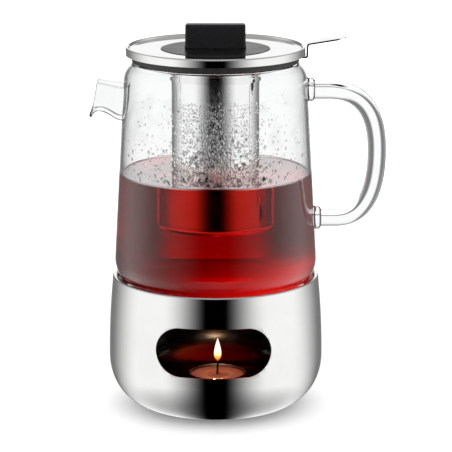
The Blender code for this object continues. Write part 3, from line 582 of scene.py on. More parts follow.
bpy.ops.object.light_add(type="POINT", location=(light_x, 0, flame_low + FLAME_HEIGHT * 0.6))
candle_light = bpy.context.object
candle_light.data.energy = 0.016
candle_light.data.color = (1.0, 0.58, 0.34)
candle_light.data.shadow_soft_size = 0.003
candle_light.parent = frame["bodies"]["tealight"]


# ---------------------------------------------------------------- jug
# The jug is blown from borosilicate glass. Its neck is cut and fire-polished, the spout is a trough
# drawn out and fused over a hole, and the handle is a bent rod fused on two beads of glass.
GLASS_WALL = 0.0022
FOOT_ROUND = 0.0220
BODY_TAPER = 0.0066
SHOULDER_STEP = 0.0055
SHOULDER_ROUND = 0.0140
NECK_HEIGHT = 0.0015
PUNT = 0.0010
STANDING_RING = 0.0085
SEAM_TURN = 0.011  # radians that keep the jug's edges off the middle of the spout and the handle
jug_low, jug_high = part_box("jug_body")
body_radius = jug_high.x
top_radius = body_radius - BODY_TAPER
neck_radius = top_radius - SHOULDER_STEP
shoulder_rise = math.sqrt(SHOULDER_ROUND**2 - (SHOULDER_ROUND - SHOULDER_STEP) ** 2)
shoulder_turn = math.degrees(math.asin(shoulder_rise / SHOULDER_ROUND))
shoulder_start = jug_high.z - NECK_HEIGHT - shoulder_rise
foot_end = jug_low.z + FOOT_ROUND
flat_radius = body_radius - FOOT_ROUND


def offset(line, wall):
    """The same line moved by wall to its left, backwards."""
    moved = []
    for i, (x, z) in enumerate(line):
        before = line[max(i - 1, 0)]
        after = line[min(i + 1, len(line) - 1)]
        run, lift = after[0] - before[0], after[1] - before[1]
        length = math.hypot(run, lift)
        moved.append((0.0 if x == 0 else x - wall * lift / length, z + wall * run / length))
    return moved[::-1]


def jug_radius(height):
    """Outer radius of the leaning wall."""
    share = (height - foot_end) / (shoulder_start - foot_end)
    return body_radius - BODY_TAPER * min(max(share, 0.0), 1.0)


def between(start, end, count):
    """Points that divide a straight line, without its ends."""
    return [
        (start[0] + (end[0] - start[0]) * i / count, start[1] + (end[1] - start[1]) * i / count)
        for i in range(1, count)
    ]


punt_edge = flat_radius - STANDING_RING
bottom = [(0.0, jug_low.z + PUNT), (punt_edge * 0.5, jug_low.z + PUNT), (punt_edge - 0.006, jug_low.z + PUNT)]
bottom += [
    (punt_edge - 0.002, jug_low.z + PUNT * 0.5),
    (punt_edge + 0.001, jug_low.z + 0.0001),
    (flat_radius - 0.002, jug_low.z),
]
foot = arc((flat_radius, foot_end), FOOT_ROUND, -90, 0, 22)
shoulder = arc((top_radius - SHOULDER_ROUND, shoulder_start), SHOULDER_ROUND, 0, shoulder_turn, 12)
outer = bottom + foot + between(foot[-1], shoulder[0], 24) + shoulder[:-1]
outer += [
    (neck_radius + 0.0002, jug_high.z - NECK_HEIGHT - 0.0002),
    (neck_radius, jug_high.z - NECK_HEIGHT + 0.0001),
]
lip = arc((neck_radius - GLASS_WALL / 2, jug_high.z - GLASS_WALL / 2), GLASS_WALL / 2, 0, 180, 8)
inner = offset(outer, GLASS_WALL)
jug = turned("jug_glass", outer + lip[1:-1] + inner, 144)
bpy.ops.object.mode_set(mode="EDIT")
bpy.ops.mesh.select_all(action="SELECT")
bpy.ops.transform.rotate(value=SEAM_TURN, orient_axis="Z", center_override=(0, 0, 0))
bpy.ops.object.mode_set(mode="OBJECT")

# Mouth of the trough, cut through the wall
SPOUT_WALL = 0.0020
SPOUT_DROP = 0.0156
SPOUT_DEPTH = 0.0235
SPOUT_HALF = 0.0113
SPOUT_LIP_HALF = 0.0078
SPOUT_REACH = 0.0204
SPOUT_RAKE = 0.0040
SPOUT_RISE = 0.0030
SPOUT_HUMP = 0.0058
DRIP_DROP = 0.0040
HOLE_BRIDGE = 0.0012
spout_edge = jug_high.z - SPOUT_DROP
spout_start = -jug_radius(spout_edge - SPOUT_DEPTH / 2)


def trough_ring(x_top, x_floor, half, top, floor, inset=0.0, count=20):
    """U-shaped section from the far top edge round the floor to the near one."""
    ring = []
    for i in range(count + 1):
        angle = math.pi * i / count
        across = math.copysign(abs(math.cos(angle)) ** 0.8, math.cos(angle))
        down = math.sin(angle) ** 0.8
        x = x_top + (x_floor - x_top) * down
        ring.append((x, (half - inset) * across, top - (top - floor - inset) * down))
    return ring


def skinned(name, rings, closed):
    """Draws the first ring point by point, then pulls the line out from ring to ring."""
    deselect()
    bpy.ops.mesh.primitive_plane_add(size=0.01)
    piece = bpy.context.object
    piece.name = piece.data.name = name
    bpy.ops.object.mode_set(mode="EDIT")
    bpy.ops.mesh.merge(type="CENTER")
    bpy.ops.object.mode_set(mode="OBJECT")  # numbers the points afresh, so that new ones follow in order
    bpy.ops.object.mode_set(mode="EDIT")
    bpy.ops.transform.translate(value=rings[0][0])
    for a, b in zip(rings[0], rings[0][1:]):
        bpy.ops.mesh.extrude_region_move(TRANSFORM_OT_translate={"value": [q - p for p, q in zip(a, b)]})
    if closed:
        bpy.ops.mesh.select_all(action="SELECT")
        bpy.ops.mesh.edge_face_add()
    bpy.ops.mesh.select_all(action="SELECT")
    last = list(range(len(rings[0])))
    for ring in rings[1:]:
        older = max(last) + 1
        bpy.ops.mesh.extrude_region_move()
        bpy.ops.object.mode_set(mode="OBJECT")
        pulled = dict(
            sorted(edge.vertices)
            for edge in piece.data.edges
            if min(edge.vertices) < older <= max(edge.vertices)
        )
        last = [pulled[i] for i in last]
        for i, place in zip(last, ring):
            piece.data.vertices[i].co = place
        bpy.ops.object.mode_set(mode="EDIT")
    bpy.ops.mesh.select_all(action="SELECT")
    bpy.ops.mesh.normals_make_consistent(inside=False)
    bpy.ops.object.mode_set(mode="OBJECT")
    return piece


floor_level = spout_edge - SPOUT_DEPTH
narrowing = SPOUT_HALF - SPOUT_LIP_HALF
reach_top = SPOUT_REACH - SPOUT_RAKE
rings = []
STATIONS = 22
for i in range(STATIONS + 1):
    along = -0.22 + 1.22 * i / STATIONS
    out = max(along, 0.0)
    lift = 0.5 - 0.5 * math.cos(math.pi * min(out / 0.72, 1.0))
    drip = max((out - 0.82) / 0.18, 0.0) ** 1.5
    rings.append(
        trough_ring(
            spout_start - reach_top * along,
            spout_start - SPOUT_REACH * along,
            SPOUT_HALF - narrowing * out,
            spout_edge + SPOUT_RISE * out,
            floor_level + SPOUT_HUMP * lift - DRIP_DROP * drip,
        )
    )
spout = skinned("spout_trough", rings, closed=False)
if sum(face.normal.z for face in spout.data.polygons) > 0:
    spout.data.flip_normals()
thicken(spout, SPOUT_WALL)
apply(spout, "BEVEL", width=SPOUT_WALL * 0.36, segments=3, limit_method="ANGLE", angle_limit=math.radians(60))
outline = [(0.0, jug_high.z), (neck_radius - 0.001, jug_high.z)]
outline += [(r - 0.001, z) for r, z in shoulder[::-1]] + [(body_radius - 0.001, foot_end), (0.0, foot_end)]
cut(spout, turned("inside_of_the_jug", outline, 144))

hole_rings = [
    trough_ring(x, x, SPOUT_HALF, spout_edge - HOLE_BRIDGE, floor_level, SPOUT_WALL)
    for x in (spout_start - 0.006, spout_start + 0.010)
]
hole = skinned("spout_hole", hole_rings, closed=True)
cut(jug, hole)
cut(jug, spout, "UNION")

# Handle rod and its two beads
ROD_RADIUS = 0.0061
ROD_THIN = 0.918  # the lower end, as a share of the rod
HANDLE_DROP = 0.0187
HANDLE_RISE = 0.0480
HANDLE_REACH = 0.0430
BELLY_RISE = 0.0020
STRAIGHT = 0.0100
SQUARENESS = 0.66
BEAD_RADIUS = 0.0077
BEAD_LENGTH = 0.0042
rod_top = jug_high.z - HANDLE_DROP
rod_low = jug_low.z + HANDLE_RISE
rod_out = jug_radius((rod_top + rod_low) / 2) + HANDLE_REACH
belly = (rod_top + rod_low) / 2 + BELLY_RISE
faces = [jug_radius(z) + BEAD_LENGTH for z in (rod_top, rod_low)]
deselect()
bpy.ops.curve.primitive_bezier_curve_add()
rod = bpy.context.object
rod.name = "handle_rod"
rod.data.bevel_depth = ROD_RADIUS
rod.data.bevel_resolution = 7
rod.data.resolution_u = 26
rod.data.use_fill_caps = True
pull_top = (rod_out - faces[0] - STRAIGHT) * SQUARENESS
pull_low = (rod_out - faces[1] - STRAIGHT) * SQUARENESS
inside = -0.0046  # the rod starts inside its bead
knots = [
    (faces[0] + inside, rod_top, 0.0, STRAIGHT / 3, 1, 0, 1.0),
    (faces[0] + STRAIGHT, rod_top, STRAIGHT / 3, pull_top, 1, 0, 1.0),
    (rod_out, belly, (rod_top - belly) * SQUARENESS, (belly - rod_low) * SQUARENESS, 0, -1, 1.0),
    (faces[1] + STRAIGHT, rod_low, pull_low, STRAIGHT / 3, -1, 0, ROD_THIN),
    (faces[1] + inside, rod_low, STRAIGHT / 3, 0.0, -1, 0, ROD_THIN),
]
points = rod.data.splines[0].bezier_points
points.add(len(knots) - len(points))
for point, (x, z, back, ahead, dx, dz, width) in zip(points, knots):
    point.co = (x, 0.0, z)
    point.radius = width
    point.handle_left_type = point.handle_right_type = "FREE"
    point.handle_left = (x - dx * back, 0.0, z - dz * back)
    point.handle_right = (x + dx * ahead, 0.0, z + dz * ahead)
bpy.ops.object.convert(target="MESH")
rod = bpy.context.object
cut(jug, rod, "UNION")
for height, radius in ((rod_top, ROD_RADIUS), (rod_low, ROD_RADIUS * ROD_THIN)):
    wall = jug_radius(height)
    face = wall + BEAD_LENGTH
    middle = face - BEAD_LENGTH * 0.42
    outline = [(0.0, face + 0.0004), (radius - 0.0006, face + 0.0004)]
    outline += [
        (radius + 0.0005, face),
        (BEAD_RADIUS - 0.0006, face - 0.0006),
        (BEAD_RADIUS - 0.0001, middle + 0.0006),
    ]
    outline += [
        (BEAD_RADIUS, middle), (BEAD_RADIUS - 0.0002, middle - 0.0007), (BEAD_RADIUS - 0.0001, wall + 0.0008)
    ]
    outline += [
        (BEAD_RADIUS + 0.0003, wall - 0.0002), (BEAD_RADIUS + 0.0003, wall - 0.0012), (0.0, wall - 0.0012)
    ]
    bead = turned("handle_bead", outline, 48)
    bpy.ops.object.mode_set(mode="EDIT")
    bpy.ops.mesh.select_all(action="SELECT")
    bpy.ops.transform.rotate(value=-math.pi / 2, orient_axis="Y", center_override=(0, 0, 0))
    bpy.ops.transform.translate(value=(0, 0, height))
    bpy.ops.object.mode_set(mode="OBJECT")
    if max(v.co.x for v in bead.data.vertices) < 0:
        for vert in bead.data.vertices:
            vert.co.x = -vert.co.x
        bead.data.flip_normals()
    cut(jug, bead, "UNION")
deselect()
bpy.context.view_layer.objects.active = jug
jug.select_set(True)
bpy.ops.object.shade_smooth_by_angle(angle=math.radians(50))

MIST_LOW = 0.160
MIST_HIGH = 0.209
glass, tree, shader = new_material("borosilicate_glass")
place = add_node(tree, "TexCoord").outputs["Object"]
parts = add_node(tree, "SeparateXYZ", Vector=place)
flat = add_node(tree, "Mapping", Vector=place, Scale=(1, 1, 0)).outputs["Vector"]
out = add_node(tree, "VectorMath", i0=flat)
out.operation = "LENGTH"
inside_face = spread(tree, out.outputs["Value"], 1.0, 0.0, 0.0590, 0.0600)
rising = spread(tree, parts.outputs["Z"], 0.0, 1.0, MIST_HIGH, MIST_LOW + 0.02)
dry = spread(tree, parts.outputs["Z"], 0.0, 1.0, MIST_LOW - 0.0035, MIST_LOW - 0.0025)
patchy = spread(tree, noise(tree, 70.0, 6.0), 0.0, 1.0, 0.42, 0.62)
mist = calculate(tree, "MULTIPLY", inside_face, rising)
mist = calculate(tree, "MULTIPLY", mist, dry)
mist = calculate(tree, "MULTIPLY", mist, patchy)
tree.links.new(spread(tree, mist, 0.0, 0.10, 0.0, 1.0), shader.inputs["Roughness"])
aside = add_node(tree, "Math", i0=parts.outputs["X"])
aside.operation = "ABSOLUTE"
fog = calculate(tree, "MULTIPLY", mist, spread(tree, aside.outputs["Value"], 0.15, 1.0, 0.010, 0.028))
tree.links.new(spread(tree, fog, 1.0, 0.74, 0.1, 1.0), shader.inputs["Transmission Weight"])
tree.links.new(
    shades(tree, noise(tree, 14.0), (0.3, (0.975, 0.985, 0.985)), (0.7, (0.99, 0.995, 0.995))),
    shader.inputs["Base Color"],
)
shader.inputs["IOR"].default_value = 1.47
shader.inputs["Specular Tint"].default_value = (0.25, 0.25, 0.25, 1.0)
glancing = spread(tree, add_node(tree, "LayerWeight", Blend=0.5).outputs["Facing"], 0.0, 1.0, 0.13, 0.50)
wetted = spread(tree, parts.outputs["Z"], 1.0, 0.0, MIST_LOW - 0.0035, MIST_LOW)
sheen = calculate(tree, "MULTIPLY", glancing, wetted)
outline_dark = spread(tree, add_node(tree, "LayerWeight", Blend=0.5).outputs["Facing"], 1.0, 0.1, 0.72, 0.92)
sheen = calculate(tree, "MULTIPLY", sheen, outline_dark)
outside_wall = spread(tree, out.outputs["Value"], 0.0, 1.0, 0.0600, 0.0604)
sheen = calculate(tree, "MULTIPLY", sheen, outside_wall)
tree.links.new(sheen, shader.inputs["Coat Weight"])
shader.inputs["Coat Roughness"].default_value = 0.0
shader.inputs["Coat IOR"].default_value = 1.7
bump(tree, shader, noise(tree, 22.0, 1.0), 0.08, 0.0004)
finish(
    jug, [glass], "jug", "glass", "jug_body", "spout", "handle", "handle_collar_upper", "handle_collar_lower"
)


# ---------------------------------------------------------------- tea
# Red tea fills the jug to a little over half. It wets the glass, so its edge climbs the wall slightly.
TEA_LEVEL = 0.1570
WETTING = 0.0002  # the tea's mesh reaches that far into the glass, so no air shows between them
MENISCUS = 0.0009
# The lowest tea has a painted glow: emission on the tea's surface that stands in for the candle's light.
PAINTED_GLOW = 0.95  # light of the candle in the lowest tea
PAINTED_GLOW_TOP = 0.1010
tea_wall = [
    (r + WETTING, z - (WETTING if r < flat_radius else 0.0))
    for r, z in inner[::-1]
    if 0 < r and z < TEA_LEVEL
]
edge_radius = jug_radius(TEA_LEVEL) - GLASS_WALL + WETTING
outline = [(0.0, tea_wall[0][1])] + tea_wall
outline += [(edge_radius, TEA_LEVEL + MENISCUS)]
outline += [
    (edge_radius - MENISCUS * s, TEA_LEVEL + MENISCUS * (1 - s / 3) ** 3) for s in (0.5, 1.0, 2.0, 3.0)
]
outline += [(edge_radius * 0.5, TEA_LEVEL), (0.0, TEA_LEVEL)]
tea = turned("red_tea", outline, 144, smooth=60)
brew, tree, shader = new_material("red_tea")
shader.inputs["Transmission Weight"].default_value = 1.0
shader.inputs["IOR"].default_value = 1.333
shader.inputs["Roughness"].default_value = 0.0
tree.links.new(
    shades(tree, noise(tree, 30.0, 2.0), (0.3, (0.99, 0.97, 0.96)), (0.7, (1.0, 1.0, 1.0))),
    shader.inputs["Base Color"],
)
bump(tree, shader, noise(tree, 40.0, 1.0), 0.05, 0.0003)
height = add_node(tree, "SeparateXYZ", Vector=add_node(tree, "TexCoord").outputs["Object"]).outputs["Z"]
on_top = spread(tree, height, 0.0, 1.0, TEA_LEVEL - 0.0003, TEA_LEVEL - 0.0001)
tree.links.new(on_top, shader.inputs["Coat Weight"])
tree.links.new(
    shades(tree, on_top, (0.0, (0.3, 0.3, 0.3)), (1.0, (1.0, 1.0, 1.0))), shader.inputs["Specular Tint"]
)
shader.inputs["Coat Roughness"].default_value = 0.0
shader.inputs["Coat IOR"].default_value = 4.0
# Painted glow: red emission on the tea's surface, strongest at the bottom and toward +X, turning orange where
# it is brightest.
lit = add_node(tree, "SeparateXYZ", Vector=add_node(tree, "TexCoord").outputs["Object"]).outputs
painted_glow_height = spread(tree, lit["Z"], 0.0, 1.0, PAINTED_GLOW_TOP, tea_wall[0][1] + 0.003)
across = spread(tree, lit["X"], 0.24, 1.0, -0.040, 0.034)
across = calculate(tree, "MULTIPLY", across, across)
painted_glow = calculate(tree, "MULTIPLY", painted_glow_height, across)
painted_glow = calculate(tree, "MULTIPLY", painted_glow, painted_glow_height)
tree.links.new(spread(tree, painted_glow, 0.0, PAINTED_GLOW, 0.0, 1.0), shader.inputs["Emission Strength"])
tree.links.new(
    shades(tree, painted_glow, (0.0, (1.0, 0.004, 0.008)), (0.6, (1.0, 0.01, 0.008)), (1.0, (1.0, 0.10, 0.02))),
    shader.inputs["Emission Color"],
)
body_colour = add_node(tree, "VolumeAbsorption", Color=(0.905, 0.42, 0.26, 1.0), Density=120.0)
tree.links.new(body_colour.outputs["Volume"], tree.nodes["Material Output"].inputs["Volume"])
finish(tea, [brew], "jug", "glass")


# ---------------------------------------------------------------- condensation
# Steam has beaded on the inside of the jug above the tea: small flat drops, larger and closer together
# low down, and sparse under the shoulder.
DROP_DOUBLINGS = 11
DROP_LOW = TEA_LEVEL + 0.002
DROP_HIGH = 0.213
deselect()
bpy.ops.mesh.primitive_ico_sphere_add(subdivisions=2, radius=1.0)
drops = bpy.context.object
drops.name = drops.data.name = "condensation"
bpy.ops.object.mode_set(mode="EDIT")
bpy.ops.mesh.select_all(action="SELECT")
bpy.ops.mesh.bisect(plane_co=(-0.25, 0, 0), plane_no=(1, 0, 0), use_fill=True, clear_inner=True)
bpy.ops.mesh.select_all(action="SELECT")
bpy.ops.object.mode_set(mode="OBJECT")
drop_points = len(drops.data.vertices)
bpy.ops.object.mode_set(mode="EDIT")
for _ in range(DROP_DOUBLINGS):
    bpy.ops.mesh.select_all(action="SELECT")
    bpy.ops.mesh.duplicate()
bpy.ops.object.mode_set(mode="OBJECT")
drop_count = 2**DROP_DOUBLINGS
flat_co = np.zeros(len(drops.data.vertices) * 3)
drops.data.vertices.foreach_get("co", flat_co)
cloud = flat_co.reshape(drop_count, drop_points, 3)
chance = random.Random(7)
for shape in cloud:
    low_share = chance.random() ** 1.35
    z = DROP_LOW + (DROP_HIGH - DROP_LOW) * low_share
    spot = chance.random()
    if spot < 0.84:
        turn = chance.gauss(-90, 17)
    elif spot < 0.96:
        turn = chance.gauss(-90, 36)
    else:
        turn = chance.uniform(0, 360)
    turn = math.radians(turn)
    size = (0.00030 + 0.00065 * chance.random() ** 2.2) * (1.3 - 0.7 * low_share)
    wall = jug_radius(z) - GLASS_WALL
    tall = chance.uniform(0.9, 1.9)
    depth = wall - size * 0.20 * (shape[:, 0] + 0.20)
    angle = turn + size * shape[:, 1] / wall
    shape[:, 2] = z + size * tall * shape[:, 2]
    shape[:, 0] = depth * np.cos(angle)
    shape[:, 1] = depth * np.sin(angle)
drops.data.vertices.foreach_set("co", cloud.reshape(-1))
drops.data.update()
deselect()
bpy.context.view_layer.objects.active = drops
drops.select_set(True)
bpy.ops.object.mode_set(mode="EDIT")
bpy.ops.mesh.select_all(action="SELECT")
bpy.ops.mesh.normals_make_consistent(inside=False)
bpy.ops.object.mode_set(mode="OBJECT")
bpy.ops.object.shade_smooth()
dew, tree, shader = new_material("condensed_water")
shader.inputs["Transmission Weight"].default_value = 1.0
shader.inputs["IOR"].default_value = 1.20
shader.inputs["Roughness"].default_value = 0.0
tree.links.new(
    shades(tree, noise(tree, 300.0), (0.3, (0.96, 0.96, 0.96)), (0.7, (1.0, 1.0, 1.0))),
    shader.inputs["Base Color"],
)
finish(drops, [dew], "jug", "glass")


# ---------------------------------------------------------------- strainer
# The strainer is a polished steel tube, punched with fine holes below its collar, with a pressed bottom.
# It hangs from a flange gripped by a black silicone ring, and is lifted by a bent steel tongue.
HOLE_COLUMNS = 72
HOLE_ROWS = 32
HOLE_RADIUS = 0.00032
STRAINER_SHEET = 0.0005
tube_low, tube_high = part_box("strainer_tube")
tube_radius = tube_high.x
pitch = 2 * math.pi * tube_radius / HOLE_COLUMNS
deselect()
bpy.ops.mesh.primitive_circle_add(vertices=8, radius=HOLE_RADIUS, rotation=(0, 0, 0))
tube = bpy.context.object
tube.name = tube.data.name = "strainer_sieve"
bpy.ops.object.mode_set(mode="EDIT")
bpy.ops.mesh.select_all(action="SELECT")
bpy.ops.mesh.extrude_region_move()
bpy.ops.object.mode_set(mode="OBJECT")
for vert in tube.data.vertices[8:]:
    scale = pitch / 2 / max(abs(vert.co.x), abs(vert.co.y))
    vert.co.x, vert.co.y = vert.co.x * scale, vert.co.y * scale
for count, direction in ((HOLE_COLUMNS, (1, 0, 0)), (HOLE_ROWS, (0, 1, 0))):
    apply(
        tube,
        "ARRAY",
        count=count,
        use_relative_offset=False,
        use_constant_offset=True,
        constant_offset_displace=[pitch * d for d in direction],
        use_merge_vertices=True,
        merge_threshold=1e-5,
    )
sieve_low = tube_low.z + 0.0006
lowest = min(v.co.y for v in tube.data.vertices)
highest = max(v.co.y for v in tube.data.vertices)
bpy.ops.object.mode_set(mode="EDIT")
bpy.ops.mesh.select_all(action="DESELECT")
bpy.ops.object.mode_set(mode="OBJECT")
for end, reach in ((lowest, sieve_low - tube_low.z), (highest, 0.0)):
    for vert in tube.data.vertices:
        vert.select = abs(vert.co.y - end) < 1e-6
    for edge in tube.data.edges:
        edge.select = all(tube.data.vertices[i].select for i in edge.vertices)
    for face in tube.data.polygons:
        face.select = False
    bpy.ops.object.mode_set(mode="EDIT")
    step = -reach if reach else (tube_high.z - sieve_low) - (highest - lowest)
    for _ in range(1 if reach else 6):
        bpy.ops.mesh.extrude_region_move(TRANSFORM_OT_translate={"value": (0, step / (1 if reach else 6), 0)})
    bpy.ops.object.mode_set(mode="OBJECT")
for vert in tube.data.vertices:
    angle = vert.co.x / tube_radius
    height = sieve_low + vert.co.y - lowest
    vert.co = (tube_radius * math.cos(angle), tube_radius * math.sin(angle), height)
bpy.ops.object.mode_set(mode="EDIT")
bpy.ops.mesh.select_all(action="SELECT")
bpy.ops.mesh.remove_doubles(threshold=1e-5)
bpy.ops.mesh.normals_make_consistent(inside=False)
bpy.ops.object.mode_set(mode="OBJECT")
thicken(tube, STRAINER_SHEET)
bpy.ops.object.shade_smooth_by_angle(angle=math.radians(40))
sieve_steel = steel("strainer_steel", (1.0, 1.0, 0.99), 0.07, 0.10)
finish(tube, [sieve_steel], "strainer", "strainer_steel", "strainer_tube")

FOOT_ROUNDING = 0.0035
bottom_low, bottom_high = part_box("strainer_bottom")
outline = [(0.0, bottom_low.z)] + between((0.0, bottom_low.z), (tube_radius - FOOT_ROUNDING, bottom_low.z), 4)
outline += arc((tube_radius - FOOT_ROUNDING, bottom_low.z + FOOT_ROUNDING), FOOT_ROUNDING, -90, 0, 8)
outline += [(tube_radius, bottom_high.z)]
sieve_bottom = turned("strainer_floor", outline, 144, wall=STRAINER_SHEET)
drills = []
for ring, count in ((0.006, 6), (0.012, 12), (0.018, 18), (0.0235, 24)):
    for i in range(count):
        angle = 2 * math.pi * (i + 0.31) / count
        deselect()
        bpy.ops.mesh.primitive_cylinder_add(
            vertices=12,
            radius=HOLE_RADIUS * 2,
            depth=0.006,
            location=(ring * math.cos(angle), ring * math.sin(angle), bottom_low.z),
        )
        drills.append(bpy.context.object)
deselect()
for drill in drills:
    drill.select_set(True)
bpy.context.view_layer.objects.active = drills[0]
bpy.ops.object.join()
cut(sieve_bottom, drills[0])
bpy.ops.object.shade_smooth_by_angle(angle=math.radians(40))
finish(sieve_bottom, [sieve_steel], "strainer", "strainer_steel", "strainer_bottom")

FLANGE_SHEET = 0.0006
flange_low, flange_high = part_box("strainer_flange")
collar = tube_radius + 0.0003 + FLANGE_SHEET
flange_base = flange_high.z - FLANGE_SHEET
outline = [(collar, flange_low.z), (collar, flange_base - 0.0012)]
outline += arc((collar + 0.0012, flange_base - 0.0012), 0.0012, 180, 90, 5)
outline += [(flange_high.x - 0.0002, flange_base), (flange_high.x, flange_base)]
flange = turned("strainer_collar", outline, 128)
apply(flange, "SOLIDIFY", thickness=FLANGE_SHEET, offset=1.0, use_even_offset=True)
if max(v.co.z for v in flange.data.vertices) < flange_high.z - 1e-5:
    move_mesh(flange, 0, 0, flange_high.z - max(v.co.z for v in flange.data.vertices))
bpy.ops.object.shade_smooth_by_angle(angle=math.radians(40))
finish(flange, [polished_steel], "strainer", "polished_steel", "strainer_flange")

seal_low, seal_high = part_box("strainer_seal")
SEAL_HEIGHT = 0.0042
PLUG_WIDTH = 0.0024
LIP_ROUND = 0.0006
seal_bottom = seal_high.z - SEAL_HEIGHT
seal_outer = seal_high.x
plug = seal_outer - GLASS_WALL - 0.0003
groove = flange_high.x + 0.0003
top_inner = seal_outer - 0.0039
outline = [(seal_outer - LIP_ROUND, seal_high.z)]
outline += arc((seal_outer - LIP_ROUND, seal_high.z - LIP_ROUND), LIP_ROUND, 90, 0, 4)[1:]
outline += arc((seal_outer - LIP_ROUND, seal_bottom + LIP_ROUND), LIP_ROUND, 0, -90, 4)
outline += [(plug, seal_bottom)]
outline += [
    (plug, seal_low.z + PLUG_WIDTH / 2), (plug - PLUG_WIDTH / 2, seal_low.z), (plug - PLUG_WIDTH, seal_low.z)
]
outline += [
    (plug - PLUG_WIDTH, flange_base - 0.0003),
    (groove, flange_base - 0.0003),
    (groove, flange_high.z + 0.0003),
]
outline += [(top_inner, flange_high.z + 0.0003), (top_inner, seal_high.z), outline[0]]
seal = turned("neck_seal", outline, 128)
tongue_low, tongue_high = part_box("strainer_tongue")
deselect()
slot_middle = (tongue_low.x + 0.010, 0, flange_base + 0.0045)
bpy.ops.mesh.primitive_cube_add(size=1, location=slot_middle)
bpy.ops.transform.resize(value=(0.036, tongue_high.y * 2 + 0.0006, 0.0096))
cut(seal, bpy.context.object)
bpy.ops.object.shade_smooth_by_angle(angle=math.radians(35))
finish(seal, [silicone], "strainer", "silicone", "strainer_seal")

TONGUE_SHEET = 0.0010
TONGUE_STEP = 0.0088
BEND = 0.0016
lid_low, lid_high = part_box("lid_cover")
bend_x = lid_high.x + 0.0006 + TONGUE_SHEET
half = tongue_high.y
line = [(tongue_low.x, flange_base), (bend_x - BEND - 0.0005, flange_base)]
line += arc((bend_x - BEND, flange_base + BEND), BEND, -90, 0, 6)
step_z = flange_base + TONGUE_STEP
line += arc((bend_x + BEND, step_z - BEND), BEND, 180, 90, 6)
tip_x = tongue_high.x
tip_z = tongue_high.z - TONGUE_SHEET
for i in range(1, 9):
    line.append((bend_x + BEND + (tip_x - half - bend_x - BEND) * i / 8, 0.0))
for angle in (12, 24, 36, 48, 60, 72, 82, 88.5):
    line.append((tip_x - half + half * math.sin(math.radians(angle)), 0.0))
start_x = bend_x + BEND
strip = []
for x, z in line:
    if z == 0.0:
        z = step_z + (tip_z - step_z) * (x - start_x) / (tip_x - start_x)
    past = max(x - (tip_x - half), 0.0)
    strip.append((x, z, math.sqrt(max(half**2 - past**2, 0.0))))
tongue = skinned(
    "lifting_tongue",
    [[(x, -w, z), (x, -w / 2, z), (x, 0, z), (x, w / 2, z), (x, w, z)] for x, z, w in strip],
    closed=False,
)
lift = sum(face.normal.z for face in tongue.data.polygons)
if lift < 0:
    tongue.data.flip_normals()
apply(tongue, "SOLIDIFY", thickness=TONGUE_SHEET, offset=1.0, use_even_offset=True)
apply(tongue, "BEVEL", width=0.00022, segments=2, limit_method="ANGLE", angle_limit=math.radians(50))
bpy.ops.object.shade_smooth_by_angle(angle=math.radians(35))
finish(tongue, [polished_steel], "strainer", "polished_steel", "strainer_tongue")


# ---------------------------------------------------------------- lid
# The lid is a pressed steel cover with a rolled edge, lined below with a second sheet whose collar
# drops into the strainer. A black disc is let into its middle, and the bar knob stands on it.
LID_SHEET = 0.0008
LIP_HEIGHT = 0.0018
LIP_WIDTH = 0.0032
LID_ROUND = 0.0013
disc_low, disc_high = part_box("lid_disc")
lid_radius = lid_high.x
plate = lid_high.z - LIP_HEIGHT
seat = disc_high.x + 0.0003
seat_top = disc_low.z - 0.0003
outline = [(lid_radius, lid_low.z)] + between(
    (lid_radius, lid_low.z), (lid_radius, lid_high.z - LID_ROUND), 3
)
outline += arc((lid_radius - LID_ROUND, lid_high.z - LID_ROUND), LID_ROUND, 0, 90, 7)
for i in range(1, 8):
    share = i / 8
    fall = 0.5 - 0.5 * math.cos(math.pi * share)
    outline.append((lid_radius - LID_ROUND - (LIP_WIDTH - LID_ROUND) * share, lid_high.z - LIP_HEIGHT * fall))
outline += [(lid_radius - LIP_WIDTH, plate)]
outline += between((lid_radius - LIP_WIDTH, plate), (seat + EDGE, plate), 8)
outline += [(seat + EDGE, plate), (seat, plate - EDGE), (seat, seat_top), (0.0023, seat_top)]
cover = turned("lid_plate", outline, 160, wall=LID_SHEET, smooth=35)
finish(cover, [polished_steel], "lid", "polished_steel", "lid_cover")

liner_low, liner_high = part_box("lid_liner")
LINER_SHEET = 0.0006
liner_collar = tube_radius - STRAINER_SHEET - 0.0007
outline = [(liner_collar, liner_low.z), (liner_collar, lid_low.z - 0.0014)]
outline += arc((liner_collar + 0.0014, lid_low.z - 0.0014), 0.0014, 180, 90, 5)
outline += between(
    (liner_collar + 0.0014, lid_low.z), (liner_high.x, lid_low.z), 4
) + [(liner_high.x, lid_low.z)]
liner = turned("lid_lining", outline, 128)
apply(liner, "SOLIDIFY", thickness=LINER_SHEET, offset=1.0, use_even_offset=True)
if max(v.co.z for v in liner.data.vertices) < liner_high.z - 1e-5:
    move_mesh(liner, 0, 0, liner_high.z - max(v.co.z for v in liner.data.vertices))
bpy.ops.object.shade_smooth_by_angle(angle=math.radians(40))
finish(liner, [polished_steel], "lid", "polished_steel", "lid_liner")


def plastic(name, colour, roughness):
    """Moulded plastic with a fine spark-eroded texture."""
    made, tree, shader = new_material(name)
    grain = noise(tree, 900.0, 4.0)
    tree.links.new(
        shades(tree, grain, (0.3, colour), (0.8, tuple(c * 1.7 for c in colour))), shader.inputs["Base Color"]
    )
    tree.links.new(
        spread(tree, noise(tree, 50.0, 3.0), roughness, roughness + 0.07), shader.inputs["Roughness"]
    )
    shader.inputs["Specular IOR Level"].default_value = 0.2
    bump(tree, shader, noise(tree, 1800.0, 2.0), 0.2, 0.00003)
    return made


